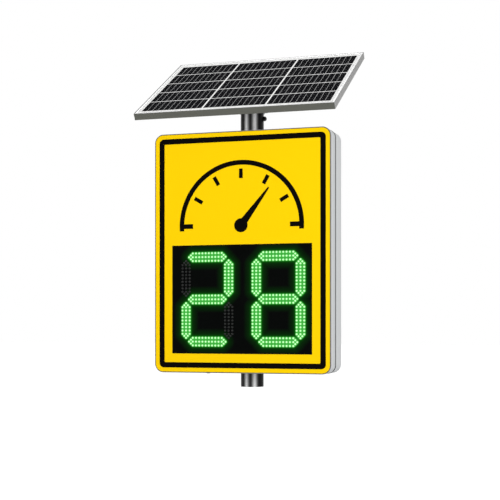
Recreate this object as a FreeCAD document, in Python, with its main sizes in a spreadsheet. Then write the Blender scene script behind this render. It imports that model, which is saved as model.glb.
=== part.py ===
import FreeCAD, Part
import math
import os
import re
import Sketcher

# A solar powered speed display sign: a sign head clamped to the upper end of a round mast, with a
# small solar panel on a tilting bracket over it. Millimetres, +Z up, the sign faces -Y, and the
# origin is the centre of the mast's lower end.

V = FreeCAD.Vector
X_AXIS = V(1, 0, 0)
Y_AXIS = V(0, 1, 0)
Z_AXIS = V(0, 0, 1)

# Driving dimensions, in millimetres and degrees
SIZES = [
    # The mast
    ("mast_diameter", 76.1),
    ("mast_wall", 3.2),
    ("foot_relief", 0.5),
    ("foot_margin", 5),
    ("stub_length", 51),
    ("mast_rise", 85),
    ("set_screw_drop", 18.5),
    ("set_screw_reach", 2),
    # The housing of the sign head
    ("sign_width", 580),
    ("sign_height", 762),
    ("corner_radius", 28),
    ("head_offset", 21),
    ("box_depth", 142),
    ("front_depth", 60),
    ("seam_gap", 5),
    ("seam_setback", 0.4),
    ("shell_wall", 2.5),
    ("rim_width", 20),
    ("back_round", 5),
    ("sheet_thickness", 2),
    ("gasket_thickness", 2),
    ("gasket_lip", 2),
    ("gasket_band", 14),
    ("lip_setback", 0.5),
    # The window and the graphics on the face
    ("window_side", 29),
    ("window_end", 25),
    ("window_foot", 62),
    ("film_thickness", 0.5),
    ("border_inset", 16),
    ("border_width", 17),
    ("border_radius", 15),
    ("border_inner_radius", 3),
    ("dial_stroke", 15),
    ("dial_foot", 45),
    ("dial_gap", 61),
    ("dial_headroom", 59),
    ("dial_side_gap", 52),
    ("dial_hub", 22),
    ("tick_length", 30),
    ("tick_width", 12),
    ("tick_gap", 12),
    ("needle_width", 26),
    ("needle_tip", 5),
    ("needle_angle", 52),
    # The display
    ("mask_clearance", 0.3),
    ("mask_recess", 1),
    ("mask_flange", 11),
    ("mask_plate", 3),
    ("mask_screw_inset", 45),
    ("digits_shift", 5),
    ("digit_spacing", 234),
    ("segment_reach", 71.5),
    ("segment_rise", 67),
    ("lamp_radius", 3.8),
    ("lamp_height", 2.5),
    ("lamp_pitch_across", 10.8),
    ("lamp_pitch_up", 10.6),
    ("lamp_row_gap", 12),
    ("tip_gap", 12.6),
    ("board_margin", 7),
    ("board_thickness", 1.6),
    ("board_gap", 6),
    ("spacer_radius", 3.5),
    ("spacer_inset", 9),
    # The radar sensor between the two digit boards
    ("radar_width", 38),
    ("radar_height", 60),
    ("radar_depth", 12),
    ("bracket_sheet", 1.5),
    ("bracket_foot", 14),
    # The equipment in the upper half of the housing
    ("rail_margin", 50),
    ("rail_end", 131),
    ("rail_height", 50),
    ("rail_depth", 18),
    ("rail_wall", 2),
    ("plate_width", 380),
    ("plate_height", 215),
    ("plate_thickness", 2),
    ("plate_gap", 10),
    ("plate_headroom", 23),
    ("battery_width", 181),
    ("battery_height", 167),
    ("battery_depth", 77),
    ("battery_margin", 14),
    ("strap_width", 25),
    ("strap_sheet", 1.2),
    ("strap_ear", 20),
    ("controller_width", 110),
    ("controller_height", 80),
    ("controller_depth", 30),
    ("logic_width", 140),
    ("logic_height", 84),
    ("logic_gap", 8),
    ("equipment_gap", 34),
    # The clamps that hold the head on the mast
    ("saddle_pad", 6),
    ("saddle_height", 50),
    ("head_room", 0.8),
    ("flange_step", 10.4),
    ("flange_border", 15),
    ("clamp_face", 4),
    ("clamp_gap", 5),
    ("band_thickness", 6),
    ("band_height", 40),
    # The spigot, the yoke and the cradle of the panel's bracket
    ("spigot_clearance", 0.1),
    ("spigot_wall", 4),
    ("spigot_length", 120),
    ("groove_depth", 1.2),
    ("groove_width", 10),
    ("cap_overhang", 4),
    ("cap_thickness", 6),
    ("yoke_plate", 5),
    ("yoke_margin", 0.4),
    ("yoke_screw_inset", 11.5),
    ("yoke_screw_angle", 45),
    ("yoke_border", 10.4),
    ("yoke_tail", 4),
    ("yoke_shoulder", 22),
    ("ear_lobe", 13),
    ("slot_border", 5),
    ("pivot_height", 40),
    ("pivot_drop", 15),
    ("lock_radius", 30),
    ("lock_angle", -40),
    ("lock_lobe", 12),
    ("ear_flare", 4),
    ("slot_clearance", 0.3),
    ("ear_clearance", 0.3),
    ("tilt_rest", 30),
    ("tilt_least", 0),
    ("tilt_most", 40),
    ("cradle_plate", 5),
    ("cradle_ear", 4),
    ("cradle_width", 120),
    ("cradle_margin", 15),
    ("cradle_bolt_x", 40),
    # The solar panel
    ("panel_width", 660),
    ("panel_slope", 490),
    ("panel_depth", 22),
    ("panel_shift", 26.3),
    ("bar_width", 30),
    ("bar_depth", 16),
    ("bar_wall", 2),
    ("bar_setback", 15),
    ("bar_spread", 220),
    ("frame_wall", 1.8),
    ("lip_width", 9),
    ("lip_thickness", 1.5),
    ("foot_width", 30),
    ("foot_thickness", 1.8),
    ("foot_bolt_inset", 22),
    ("glass_thickness", 3.2),
    ("cell_thickness", 0.4),
    ("sheet_back_thickness", 0.4),
    ("glass_clearance", 0.5),
    ("cell_margin_side", 18),
    ("cell_margin_end", 25),
    ("block_gap", 6),
    ("row_gap", 4.5),
    ("strip_gap", 1.4),
    ("junction_width", 110),
    ("junction_slope", 75),
    ("junction_depth", 15),
    ("junction_gap", 9.5),
    # Fasteners: radius of the shank, width over the flats, height of the head
    ("small_radius", 2),
    ("small_flats", 7),
    ("small_head", 2.8),
    ("shell_screw_radius", 2.5),
    ("shell_screw_flats", 8),
    ("shell_screw_head", 3.5),
    ("shell_screw_inset", 12),
    ("sleeve_wall", 2),
    ("frame_radius", 3),
    ("frame_flats", 10),
    ("frame_head", 4),
    ("middle_radius", 4),
    ("middle_flats", 13),
    ("middle_head", 5.3),
    ("large_radius", 5),
    ("large_flats", 16),
    ("large_head", 6.4),
    ("running_gap", 0.1),
    ("nut_share", 0.8),
    ("pillar_radius", 5),
    # Fittings in the walls of the rear shell
    ("gland_radius", 10),
    ("gland_flats", 24),
    ("gland_bore", 4.5),
    ("gland_collar", 5),
    ("gland_dome", 15),
    ("gland_inset", 62),
    ("vent_radius", 6),
    ("vent_flats", 17),
    ("vent_length", 10),
    ("vent_collar", 3),
    ("vent_knob", 6),
]

# Sizes that follow from the driving dimensions
DERIVED = [
    ("mast_radius", "mast_diameter / 2"),
    ("bore_radius", "mast_diameter / 2 - mast_wall"),
    ("foot_radius", "mast_radius - foot_relief"),
    ("foot_length", "stub_length - foot_margin"),
    ("sign_centre", "stub_length + sign_height / 2"),
    ("sign_top", "stub_length + sign_height"),
    ("mast_top", "sign_top + mast_rise"),
    ("set_screw_z", "mast_top - set_screw_drop"),
    ("back_y", "-(mast_radius + saddle_pad)"),
    ("face_y", "back_y - box_depth"),
    ("sheet_back_y", "face_y + sheet_thickness"),
    ("shell_front_y", "sheet_back_y + gasket_thickness"),
    ("wall_back_y", "shell_front_y + shell_wall"),
    ("seam_front_y", "face_y + front_depth"),
    ("seam_back_y", "seam_front_y + seam_gap"),
    ("back_inner_y", "back_y - shell_wall"),
    ("window_width", "digit_spacing + 2 * (segment_reach + lamp_row_gap + window_side)"),
    ("window_height", "2 * (2 * segment_rise + lamp_row_gap + window_end)"),
    ("window_drop", "sign_height / 2 - window_foot - window_height / 2"),
    ("window_top", "window_height / 2 - window_drop"),
    ("window_bottom", "-window_height / 2 - window_drop"),
    ("dial_rise", "window_top + dial_gap"),
    ("dial_room_up", "sign_height / 2 - border_inset - border_width - dial_headroom - dial_rise"),
    ("dial_room_across", "sign_width / 2 - border_inset - border_width - dial_side_gap"),
    ("dial_radius", "min(dial_room_up; dial_room_across)"),
    ("needle_length", "dial_radius - dial_stroke - tick_gap - tick_length"),
    ("mask_front_y", "face_y + mask_recess"),
    ("mask_back_y", "wall_back_y + mask_plate"),
    ("board_y", "mask_back_y + board_gap"),
    ("board_width", "2 * (segment_reach + lamp_row_gap + board_margin)"),
    ("board_height", "2 * (2 * segment_rise + lamp_row_gap + board_margin)"),
    ("rail_length", "sign_width - 2 * rail_margin"),
    ("rail_spread", "sign_height - 2 * rail_end"),
    ("rail_front_y", "back_inner_y - rail_depth"),
    ("plate_back_y", "rail_front_y - plate_gap"),
    ("plate_front_y", "plate_back_y - plate_thickness"),
    ("plate_bottom", "sign_height / 2 - plate_headroom - plate_height"),
    ("clamp_bolt_x", "mast_radius + band_thickness + head_room + large_flats / 2 / cos(30)"),
    ("saddle_cheek", "clamp_bolt_x + large_flats / 2 / cos(30) + head_room"),
    ("saddle_bolt_x", "saddle_cheek + middle_flats / 2 / cos(30) + flange_step"),
    ("saddle_flange", "saddle_bolt_x + flange_border"),
    ("pivot_z", "mast_top + pivot_height"),
    ("yoke_base_z", "mast_top + cap_thickness"),
    ("cap_radius", "mast_radius + cap_overhang"),
    ("yoke_side", "cap_radius + yoke_margin"),
    ("yoke_screw_x", "(cap_radius - yoke_screw_inset) * cos(yoke_screw_angle)"),
    ("yoke_screw_y", "(cap_radius - yoke_screw_inset) * sin(yoke_screw_angle)"),
    ("yoke_front", "yoke_screw_y + yoke_border"),
    ("yoke_back", "yoke_front + yoke_tail"),
    ("slot_half", "middle_radius + slot_clearance"),
    ("slot_first", "tilt_least + lock_angle"),
    ("slot_last", "tilt_most + lock_angle"),
    ("slot_lobe", "slot_half + slot_border"),
    ("standoff", "pivot_drop + cradle_plate + bar_depth"),
    ("panel_top", "standoff + panel_depth"),
    ("glass_top", "panel_top - lip_thickness"),
    ("glass_bottom", "glass_top - glass_thickness"),
    ("cell_bottom", "glass_bottom - cell_thickness"),
    ("laminate_bottom", "cell_bottom - sheet_back_thickness"),
    ("laminate_depth", "glass_thickness + cell_thickness + sheet_back_thickness"),
    ("cradle_side", "yoke_side + ear_clearance + cradle_ear"),
    ("bar_length", "panel_width - 2 * bar_setback"),
    ("cell_field_width", "panel_width - 2 * cell_margin_side"),
    ("cell_field_slope", "panel_slope - 2 * cell_margin_end"),
    ("junction_offset", "(bar_spread + bar_width + junction_slope) / 2 + junction_gap"),
]

# The segments of a digit that are lit, by the letters of a seven segment display
TENS_LIT = "abged"
UNITS_LIT = "abcdefg"

# Counts
BLOCKS = 3
ROWS = 5
STRIPS = 11
SIDE_SCREWS = 4
FLAT_LAMP_COUNT = 10
UPRIGHT_LAMP_COUNT = 9
LAMP_SIDES = 6
TICKS = 5

os.makedirs("parts", exist_ok=True)
doc = FreeCAD.newDocument("SpeedDisplaySign")
sheet = doc.addObject("Spreadsheet::Sheet", "Sizes")
for row, (alias, value) in enumerate(SIZES, start=1):
    sheet.set(f"A{row}", alias.replace("_", " "))
    sheet.set(f"B{row}", str(value))
    sheet.setAlias(f"B{row}", alias)
derived = doc.addObject("App::VarSet", "Derived")
reading = doc.addObject("App::VarSet", "Reading")
reading.addProperty("App::PropertyFloat", "result")
doc.recompute()

HOLDERS = {alias: "Sizes" for alias, _ in SIZES}
nodes = []


def qualify(text):
    """Puts the name of its holder before each size that an expression names."""

    def full_name(match):
        name = match[0]
        return f"{HOLDERS[name]}.{name}" if name in HOLDERS else name

    return re.sub(r"[a-z][a-z_]*", full_name, str(text))


def number(text):
    """The value of an expression over the named sizes."""
    reading.setExpression("result", qualify(text))
    reading.recompute()
    return reading.result


for alias, text in DERIVED:
    derived.addProperty("App::PropertyFloat", alias)
    derived.setExpression(alias, qualify(text))
    HOLDERS[alias] = "Derived"
doc.recompute()


def bind(item, **sizes):
    """Binds properties of a document object to expressions over the named sizes."""
    for prop, text in sizes.items():
        item.setExpression(prop, qualify(text))
    return item


def locate(item, x="0", y="0", z="0", axis=Z_AXIS, turn="0"):
    """Places a document object, with each coordinate and the turn bound to an expression."""
    item.Placement = FreeCAD.Placement(V(), FreeCAD.Rotation(axis, 1))
    for name, text in (("Base.x", x), ("Base.y", y), ("Base.z", z), ("Rotation.Angle", turn)):
        item.setExpression(f"Placement.{name}", qualify(text))
    return item


def point_along(item, toward, x, y, z):
    """Places an object so that its own Z axis runs along a direction."""
    item.Placement = FreeCAD.Placement(V(), FreeCAD.Rotation(Z_AXIS, toward))
    for name, text in (("Base.x", x), ("Base.y", y), ("Base.z", z)):
        item.setExpression(f"Placement.{name}", qualify(text))
    return item


def box(length, width, height, x="0", y="0", z="0"):
    """A block with its lowest corner at a point."""
    item = bind(doc.addObject("Part::Box", "Block"), Length=length, Width=width, Height=height)
    return locate(item, x, y, z)


def rod(radius, length, toward, x="0", y="0", z="0"):
    """A cylinder that starts at a point and runs along a direction."""
    item = bind(doc.addObject("Part::Cylinder", "Rod"), Radius=radius, Height=length)
    return point_along(item, toward, x, y, z)


def hexagon(flats, height, toward, x="0", y="0", z="0"):
    """A six sided prism, given by the width over its flats."""
    item = doc.addObject("Part::Prism", "Hexagon")
    item.Polygon = 6
    bind(item, Circumradius=f"({flats}) / 2 / cos(30)", Height=height)
    return point_along(item, toward, x, y, z)


def fuse(*items):
    """Joins solids into one."""
    item = doc.addObject("Part::MultiFuse", "Joined")
    item.Shapes = list(items)
    item.Refine = True
    return item


def cut(base, *tools):
    """Takes tools away from a solid."""
    tool = tools[0]
    if len(tools) > 1:
        tool = doc.addObject("Part::Compound", "Tools")
        tool.Links = list(tools)
    item = doc.addObject("Part::Cut", "Cutout")
    item.Base = base
    item.Tool = tool
    return item


def group(*items):
    """Gathers solids that stay separate."""
    item = doc.addObject("Part::Compound", "Group")
    item.Links = list(items)
    return item


def node(label, frame, *items):
    """Makes one sub-part of solids that are drawn in one of the three frames of the sign."""
    item = group(*items)
    item.Label = label
    if frame == "head":
        locate(item, x="head_offset", z="sign_centre")
    if frame == "panel":
        locate(item, z="pivot_z", axis=X_AXIS, turn="tilt_rest")
    nodes.append(item)
    return item


# Sketches

def new_body(label):
    """An empty body of its own."""
    return doc.addObject("PartDesign::Body", label)


def new_sketch(body, plane, offset="0"):
    """A sketch on an origin plane of its body, moved along the plane's normal."""
    sketch = body.newObject("Sketcher::SketchObject", "Outline")
    support = [item for item in body.Origin.OriginFeatures if item.Role == plane][0]
    sketch.AttachmentSupport = [(support, "")]
    sketch.MapMode = "FlatFace"
    sketch.setExpression("AttachmentOffset.Base.z", qualify(offset))
    return sketch


def constrain(sketch, kind, *reference, size=None):
    """Adds a constraint, with its value bound to an expression where it has one."""
    if size is None:
        sketch.addConstraint(Sketcher.Constraint(kind, *reference))
        return
    index = sketch.addConstraint(Sketcher.Constraint(kind, *reference, number(size)))
    sketch.setExpression(f"Constraints[{index}]", qualify(size))


def polygon_loop(sketch, points):
    """Draws a closed outline whose corners are pairs of expressions."""
    corners = [V(number(across), number(up), 0) for across, up in points]
    first = sketch.GeometryCount
    count = len(corners)
    for index, corner in enumerate(corners):
        sketch.addGeometry(Part.LineSegment(corner, corners[(index + 1) % count]), False)
    for index in range(count):
        constrain(sketch, "Coincident", first + index, 2, first + (index + 1) % count, 1)
    for index, (across, up) in enumerate(points):
        constrain(sketch, "DistanceX", -1, 1, first + index, 1, size=across)
        constrain(sketch, "DistanceY", -1, 1, first + index, 1, size=up)


def rounded_loop(sketch, width, height, radius):
    """Draws a rectangle with rounded corners about the sketch's origin."""
    half_w = number(width) / 2
    half_h = number(height) / 2
    r = number(radius)
    inner_w = half_w - r
    inner_h = half_h - r
    first = sketch.GeometryCount
    sides = [
        (V(-inner_w, half_h, 0), V(inner_w, half_h, 0)),
        (V(half_w, inner_h, 0), V(half_w, -inner_h, 0)),
        (V(inner_w, -half_h, 0), V(-inner_w, -half_h, 0)),
        (V(-half_w, -inner_h, 0), V(-half_w, inner_h, 0)),
    ]
    centres = [V(across * inner_w, up * inner_h, 0) for across, up in ((1, 1), (1, -1), (-1, -1), (-1, 1))]
    for start, end in sides:
        sketch.addGeometry(Part.LineSegment(start, end), False)
    for index, centre in enumerate(centres):
        turn = -index * math.pi / 2
        circle = Part.Circle(centre, Z_AXIS, r)
        sketch.addGeometry(Part.ArcOfCircle(circle, turn, turn + math.pi / 2), False)
    for index in range(4):
        arc = first + 4 + index
        constrain(sketch, "Tangent", first + index, 2, arc, 2)
        constrain(sketch, "Tangent", first + (index + 1) % 4, 1, arc, 1)
    constrain(sketch, "Horizontal", first)
    constrain(sketch, "Horizontal", first + 2)
    constrain(sketch, "Vertical", first + 1)
    constrain(sketch, "Vertical", first + 3)
    for index in range(1, 4):
        constrain(sketch, "Equal", first + 4, first + 4 + index)
    constrain(sketch, "Radius", first + 4, size=radius)
    constrain(sketch, "DistanceX", -1, 1, first + 1, 1, size=f"({width}) / 2")
    constrain(sketch, "DistanceX", first + 3, 1, -1, 1, size=f"({width}) / 2")
    constrain(sketch, "DistanceY", -1, 1, first, 1, size=f"({height}) / 2")
    constrain(sketch, "DistanceY", first + 2, 1, -1, 1, size=f"({height}) / 2")


def pad(body, sketch, length, backwards=False, both_ways=False):
    """Pads a sketch along its normal, against it, or half each way."""
    item = body.newObject("PartDesign::Pad", "Pad")
    item.Profile = sketch
    item.Reversed = backwards
    item.Midplane = both_ways
    bind(item, Length=length)
    sketch.Visibility = False
    return item


def pocket(body, sketch, length, backwards=False, both_ways=False):
    """Cuts a sketch into the body."""
    item = body.newObject("PartDesign::Pocket", "Pocket")
    item.Profile = sketch
    item.Reversed = backwards
    item.Midplane = both_ways
    bind(item, Length=length)
    return item


def layer(body, front_y, thickness, *loops):
    """Adds a plate to a body that stands upright: its front is at front_y and it goes back from there."""
    sketch = new_sketch(body, "XZ_Plane", f"-({front_y})")
    for loop in loops:
        if len(loop) == 3:
            rounded_loop(sketch, *loop)
        else:
            left, right, bottom, top = loop
            polygon_loop(sketch, [(left, bottom), (right, bottom), (right, top), (left, top)])
    return pad(body, sketch, thickness, backwards=True)


def profile(label, points, length, plane="YZ_Plane"):
    """A straight bar of one section, half of its length each side of the sketch's plane."""
    body = new_body(label)
    sketch = new_sketch(body, plane)
    polygon_loop(sketch, points)
    pad(body, sketch, length, both_ways=True)
    return body


# Fasteners

def screw(size, length, toward, x, y, z):
    """A hex screw: its head stands on the point and its shank runs along a direction."""
    head = hexagon(f"{size}_flats", f"{size}_head", toward * -1, x, y, z)
    return fuse(head, rod(f"{size}_radius", length, toward, x, y, z))


def nut(size, toward, x, y, z):
    """A hex nut that stands on the point and grows along a direction."""
    blank = hexagon(f"{size}_flats", nut_height(size), toward, x, y, z)
    return cut(blank, rod(f"{size}_radius", nut_height(size), toward, x, y, z))


def nut_height(size):
    """The height of a nut, as an expression: a share of its thread's diameter."""
    return f"(2 * {size}_radius * nut_share)"


# The housing

def outline(inset):
    """The housing's outline, drawn in by an amount."""
    return (f"sign_width - 2 * ({inset})", f"sign_height - 2 * ({inset})", f"corner_radius - ({inset})")


def window(margin):
    """The window's outline, made larger by an amount."""
    return (f"-window_width / 2 - ({margin})", f"window_width / 2 + ({margin})",
            f"window_bottom - ({margin})", f"window_top + ({margin})")


def shell_screw_places():
    """The ten places of the screws that hold the two shells together."""
    across = "(sign_width / 2 - shell_screw_inset)"
    up = "(sign_height / 2 - shell_screw_inset)"
    reach = "(sign_height / 2 - corner_radius - shell_screw_inset)"
    shares = [2 * step / (SIDE_SCREWS - 1) - 1 for step in range(SIDE_SCREWS)]
    places = [(f"{side} * {across}", f"{share} * {reach}") for side in (-1, 1) for share in shares]
    return places + [("0", f"-{up}"), ("0", up)]


def sign_face():
    body = new_body("SignFaceSheet")
    layer(body, "face_y", "sheet_thickness", outline("gasket_lip"), window("0"))
    node("sign_face", "head", body)


def border_stripe():
    body = new_body("BorderStripe")
    inner = "border_inset + border_width"
    layer(body, "face_y - film_thickness", "film_thickness",
          ("sign_width - 2 * border_inset", "sign_height - 2 * border_inset", "border_radius"),
          (f"sign_width - 2 * ({inner})", f"sign_height - 2 * ({inner})", "border_inner_radius"))
    node("border_stripe", "head", body)


def dial_bar(inner, outer, root, tip, angle):
    """A flat bar of the dial that points out from the dial's centre at an angle from +X."""
    points = [(inner, f"-{root} / 2"), (outer, f"-{tip} / 2"), (outer, f"{tip} / 2"), (inner, f"{root} / 2")]
    body = new_body("DialBar")
    sketch = new_sketch(body, "XZ_Plane")
    polygon_loop(sketch, points)
    pad(body, sketch, "film_thickness")
    return locate(body, y="face_y", z="dial_rise", axis=V(0, -1, 0), turn=angle)


def dial_symbol():
    """A plain half round speed dial: an arc with ticks, feet, a hub and a needle."""
    toward = V(0, -1, 0)
    inner_edge = "dial_radius - dial_stroke"
    below = box("2 * dial_radius", "film_thickness", "dial_radius", "-dial_radius", "face_y - film_thickness",
                "dial_rise - dial_stroke - dial_radius")
    ring = cut(rod("dial_radius", "film_thickness", toward, y="face_y", z="dial_rise"),
               rod(inner_edge, "film_thickness", toward, y="face_y", z="dial_rise"), below)
    feet = [dial_bar("dial_radius - dial_foot", "dial_radius", "dial_stroke", "dial_stroke", side)
            for side in ("0", "180")]
    outer = f"{inner_edge} - tick_gap"
    inner = f"{outer} - tick_length"
    ticks = [dial_bar(inner, outer, "tick_width", "tick_width", f"180 * {index} / {TICKS + 1}")
             for index in range(1, TICKS + 1)]
    hub = rod("dial_hub", "film_thickness", toward, y="face_y", z="dial_rise")
    needle = fuse(hub, dial_bar("0", "needle_length", "needle_width", "needle_tip", "needle_angle"))
    node("dial_symbol", "head", fuse(ring, *feet), needle, *ticks)


def face_gasket():
    body = new_body("FaceGasket")
    layer(body, "sheet_back_y", "gasket_thickness", outline("0"), outline("gasket_band"))
    layer(body, "face_y + lip_setback", "sheet_thickness - lip_setback", outline("0"), outline("gasket_lip"))
    node("face_gasket", "head", body)


def drilled(base, radius, length, toward, y, places):
    """Drills one hole at each place (x, z) of a plate that stands upright."""
    return cut(base, *[rod(radius, length, toward, x, y, z) for x, z in places])


def front_shell():
    body = new_body("FrontShell")
    rim_y = "seam_front_y - shell_wall"
    layer(body, "shell_front_y", "shell_wall", outline("0"), window("mask_clearance"))
    layer(body, "wall_back_y", "seam_front_y - wall_back_y - shell_wall", outline("0"), outline("shell_wall"))
    layer(body, rim_y, "shell_wall", outline("0"), outline("rim_width"))
    shell = drilled(body, "shell_screw_radius", "shell_wall", Y_AXIS, rim_y, shell_screw_places())
    holes = [rod("small_radius", "shell_wall", Y_AXIS, x, "shell_front_y", z) for x, z in mask_screw_places()]
    node("front_shell", "head", cut(shell, *holes))


def seam_seal():
    body = new_body("SeamSeal")
    layer(body, "seam_front_y", "seam_gap", outline("seam_setback"), outline("rim_width"))
    node("seam_seal", "head", drilled(body, "shell_screw_radius", "seam_gap", Y_AXIS, "seam_front_y",
                                      shell_screw_places()))


def saddle_bolt_places():
    """Where the bolts of the two clamps pass the housing's back, in the head's own frame."""
    return [(f"{side} * saddle_bolt_x - head_offset", f"{level} * rail_spread / 2")
            for level in (-1, 1) for side in (-1, 1)]


def rear_shell():
    body = new_body("RearShell")
    layer(body, "seam_back_y", "shell_wall", outline("0"), outline("rim_width"))
    layer(body, "seam_back_y + shell_wall", "back_inner_y - seam_back_y - shell_wall",
          outline("0"), outline("shell_wall"))
    last = layer(body, "back_inner_y", "shell_wall", outline("0"))
    doc.recompute()
    back = number("back_y")
    edges = [f"Edge{index}" for index, edge in enumerate(last.Shape.Edges, start=1)
             if abs(edge.BoundBox.YMin - back) < 1e-6 and abs(edge.BoundBox.YMax - back) < 1e-6]
    rounding = body.newObject("PartDesign::Fillet", "BackRound")
    rounding.Base = (last, edges)
    bind(rounding, Radius="back_round")
    depth = "back_y - seam_back_y"
    shell = drilled(body, "shell_screw_radius", depth, Y_AXIS, "seam_back_y", shell_screw_places())
    holes = [rod("middle_radius", "shell_wall", Y_AXIS, x, "back_inner_y", z)
             for x, z in saddle_bolt_places()]
    holes.append(rod("gland_radius", "shell_wall", Y_AXIS, *gland_place("back_inner_y")))
    holes.append(rod("vent_radius", "shell_wall", Z_AXIS, *vent_place("-sign_height / 2")))
    node("rear_shell", "head", cut(shell, *holes))


def shell_fasteners():
    rim_front = "seam_front_y - shell_wall"
    length = f"back_y - seam_front_y + shell_wall + {nut_height('shell_screw')}"
    backwards = V(0, -1, 0)
    places = shell_screw_places()
    screws = [screw("shell_screw", length, backwards, x, "back_y", z) for x, z in places]
    node("shell_screws", "head", *screws)
    node("shell_nuts", "head", *[nut("shell_screw", backwards, x, rim_front, z) for x, z in places])
    sleeves = []
    start = "seam_back_y + shell_wall"
    span = "back_inner_y - seam_back_y - shell_wall"
    for x, z in places:
        outer = rod("shell_screw_radius + sleeve_wall", span, Y_AXIS, x, start, z)
        sleeves.append(cut(outer, rod("shell_screw_radius", span, Y_AXIS, x, start, z)))
    node("screw_sleeves", "head", *sleeves)


# The display

def mask_screw_places():
    """Eight places round the display mask's flange."""
    across = "(window_width / 2 + mask_flange / 2)"
    up = "(window_height / 2 + mask_flange / 2)"
    sides = [(f"{side} * {across}", f"{end} * ({up} - mask_screw_inset) - window_drop")
             for side in (-1, 1) for end in (-1, 1)]
    ends = [(f"{end} * ({across} - 2 * mask_screw_inset)", f"{side} * {up} - window_drop")
            for side in (-1, 1) for end in (-1, 1)]
    return sides + ends


def display_mask():
    body = new_body("DisplayMask")
    layer(body, "mask_front_y", "wall_back_y - mask_front_y", window("-mask_clearance"))
    layer(body, "wall_back_y", "mask_plate", window("mask_flange"))
    node("display_mask", "head", drilled(body, "small_radius", "mask_plate", Y_AXIS, "wall_back_y",
                                         mask_screw_places()))
    length = "mask_plate + shell_wall"
    node("mask_screws", "head", *[screw("small", length, V(0, -1, 0), x, "mask_back_y", z)
                                  for x, z in mask_screw_places()])


def segment_lamps():
    """The lamps of each segment of a digit, as offsets from the digit's centre."""
    reach = number("segment_reach")
    rise = number("segment_rise")
    gap = number("lamp_row_gap")
    tip = number("tip_gap")

    def bank(count, pitch):
        """One segment that lies along X: three rows, with a point at each end."""
        end = (count - 1) * pitch / 2
        lamps = [(-end + step * pitch, line * gap) for line in (-1, 0, 1) for step in range(count)]
        for side in (-1, 1):
            lamps.append((side * (end + tip), 0))
            lamps += [(side * (end + tip / 2), half * gap / 2) for half in (-1, 1)]
        return lamps

    flat = bank(FLAT_LAMP_COUNT, number("lamp_pitch_across"))
    tall = [(up, along) for along, up in bank(UPRIGHT_LAMP_COUNT, number("lamp_pitch_up"))]
    centres = {"a": (0, 2 * rise), "g": (0, 0), "d": (0, -2 * rise), "f": (-reach, rise), "b": (reach, rise),
               "e": (-reach, -rise), "c": (reach, -rise)}
    return {letter: [(cx + dx, cz + dz) for dx, dz in (flat if letter in "agd" else tall)]
            for letter, (cx, cz) in centres.items()}


def lamp_group(label, digit_x, letters):
    """The lamp lenses of some segments of one digit, standing on the mask."""
    front = number("mask_front_y")
    centre_z = number("-window_drop")
    radius = number("lamp_radius")
    height = number("lamp_height")
    turns = [2 * math.pi * corner / LAMP_SIDES for corner in range(LAMP_SIDES + 1)]
    rim = Part.makePolygon([V(radius * math.cos(turn), front, radius * math.sin(turn)) for turn in turns])
    lens = Part.Face(rim).extrude(V(0, -height, 0))
    offsets = segment_lamps()
    lenses = [lens.translated(V(digit_x + dx, 0, centre_z + dz))
              for letter in letters for dx, dz in offsets[letter]]
    lamps = doc.addObject("Part::Feature", "Lamps")
    lamps.Shape = Part.makeCompound(lenses)
    node(label, "head", lamps)


def lamps():
    middle = number("digits_shift")
    half = number("digit_spacing") / 2
    lamp_group("lamps_tens_lit", middle - half, TENS_LIT)
    lamp_group("lamps_tens_dark", middle - half, "".join(sorted(set(UNITS_LIT) - set(TENS_LIT))))
    lamp_group("lamps_units_lit", middle + half, UNITS_LIT)


def boards():
    spacers = []
    for label, side in (("tens_board", "-1"), ("units_board", "1")):
        centre = f"(digits_shift + {side} * digit_spacing / 2)"
        node(label, "head", box("board_width", "board_thickness", "board_height",
                                f"{centre} - board_width / 2", "board_y", "-board_height / 2 - window_drop"))
        for across in (-1, 1):
            for up in (-1, 1):
                x = f"{centre} + {across} * (board_width / 2 - spacer_inset)"
                z = f"{up} * (board_height / 2 - spacer_inset) - window_drop"
                spacers.append(rod("spacer_radius", "board_gap", Y_AXIS, x, "mask_back_y", z))
    node("board_spacers", "head", *spacers)


def radar():
    left = "digits_shift - radar_width / 2"
    node("radar_sensor", "head", box("radar_width", "radar_depth", "radar_height", left,
                                     "mask_back_y", "-radar_height / 2 - window_drop"))
    back = box("radar_width", "bracket_sheet", "radar_height + 2 * bracket_sheet", left,
               "mask_back_y + radar_depth", "-radar_height / 2 - bracket_sheet - window_drop")
    parts = [back]
    for side in (-1, 1):
        low = f"{side} * (radar_height / 2 + bracket_sheet / 2) - bracket_sheet / 2 - window_drop"
        foot = f"{side} * (radar_height / 2 + bracket_foot / 2) - bracket_foot / 2 - window_drop"
        parts.append(box("radar_width", "radar_depth", "bracket_sheet", left, "mask_back_y", low))
        parts.append(box("radar_width", "bracket_sheet", "bracket_foot", left, "mask_back_y", foot))
    node("radar_bracket", "head", fuse(*parts))


# The equipment in the upper half of the housing

def rails():
    for label, level, places in (("rail_lower", "-1", saddle_bolt_places()[:2]),
                                 ("rail_upper", "1", saddle_bolt_places()[2:])):
        low = f"{level} * rail_spread / 2 - rail_height / 2"
        tube = cut(box("rail_length", "rail_depth", "rail_height", "-rail_length / 2", "rail_front_y", low),
                   box("rail_length", "rail_depth - 2 * rail_wall", "rail_height - 2 * rail_wall",
                       "-rail_length / 2", "rail_front_y + rail_wall", f"{low} + rail_wall"),
                   *[rod("middle_radius", "rail_depth", Y_AXIS, x, "rail_front_y", z) for x, z in places])
        node(label, "head", tube)


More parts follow.
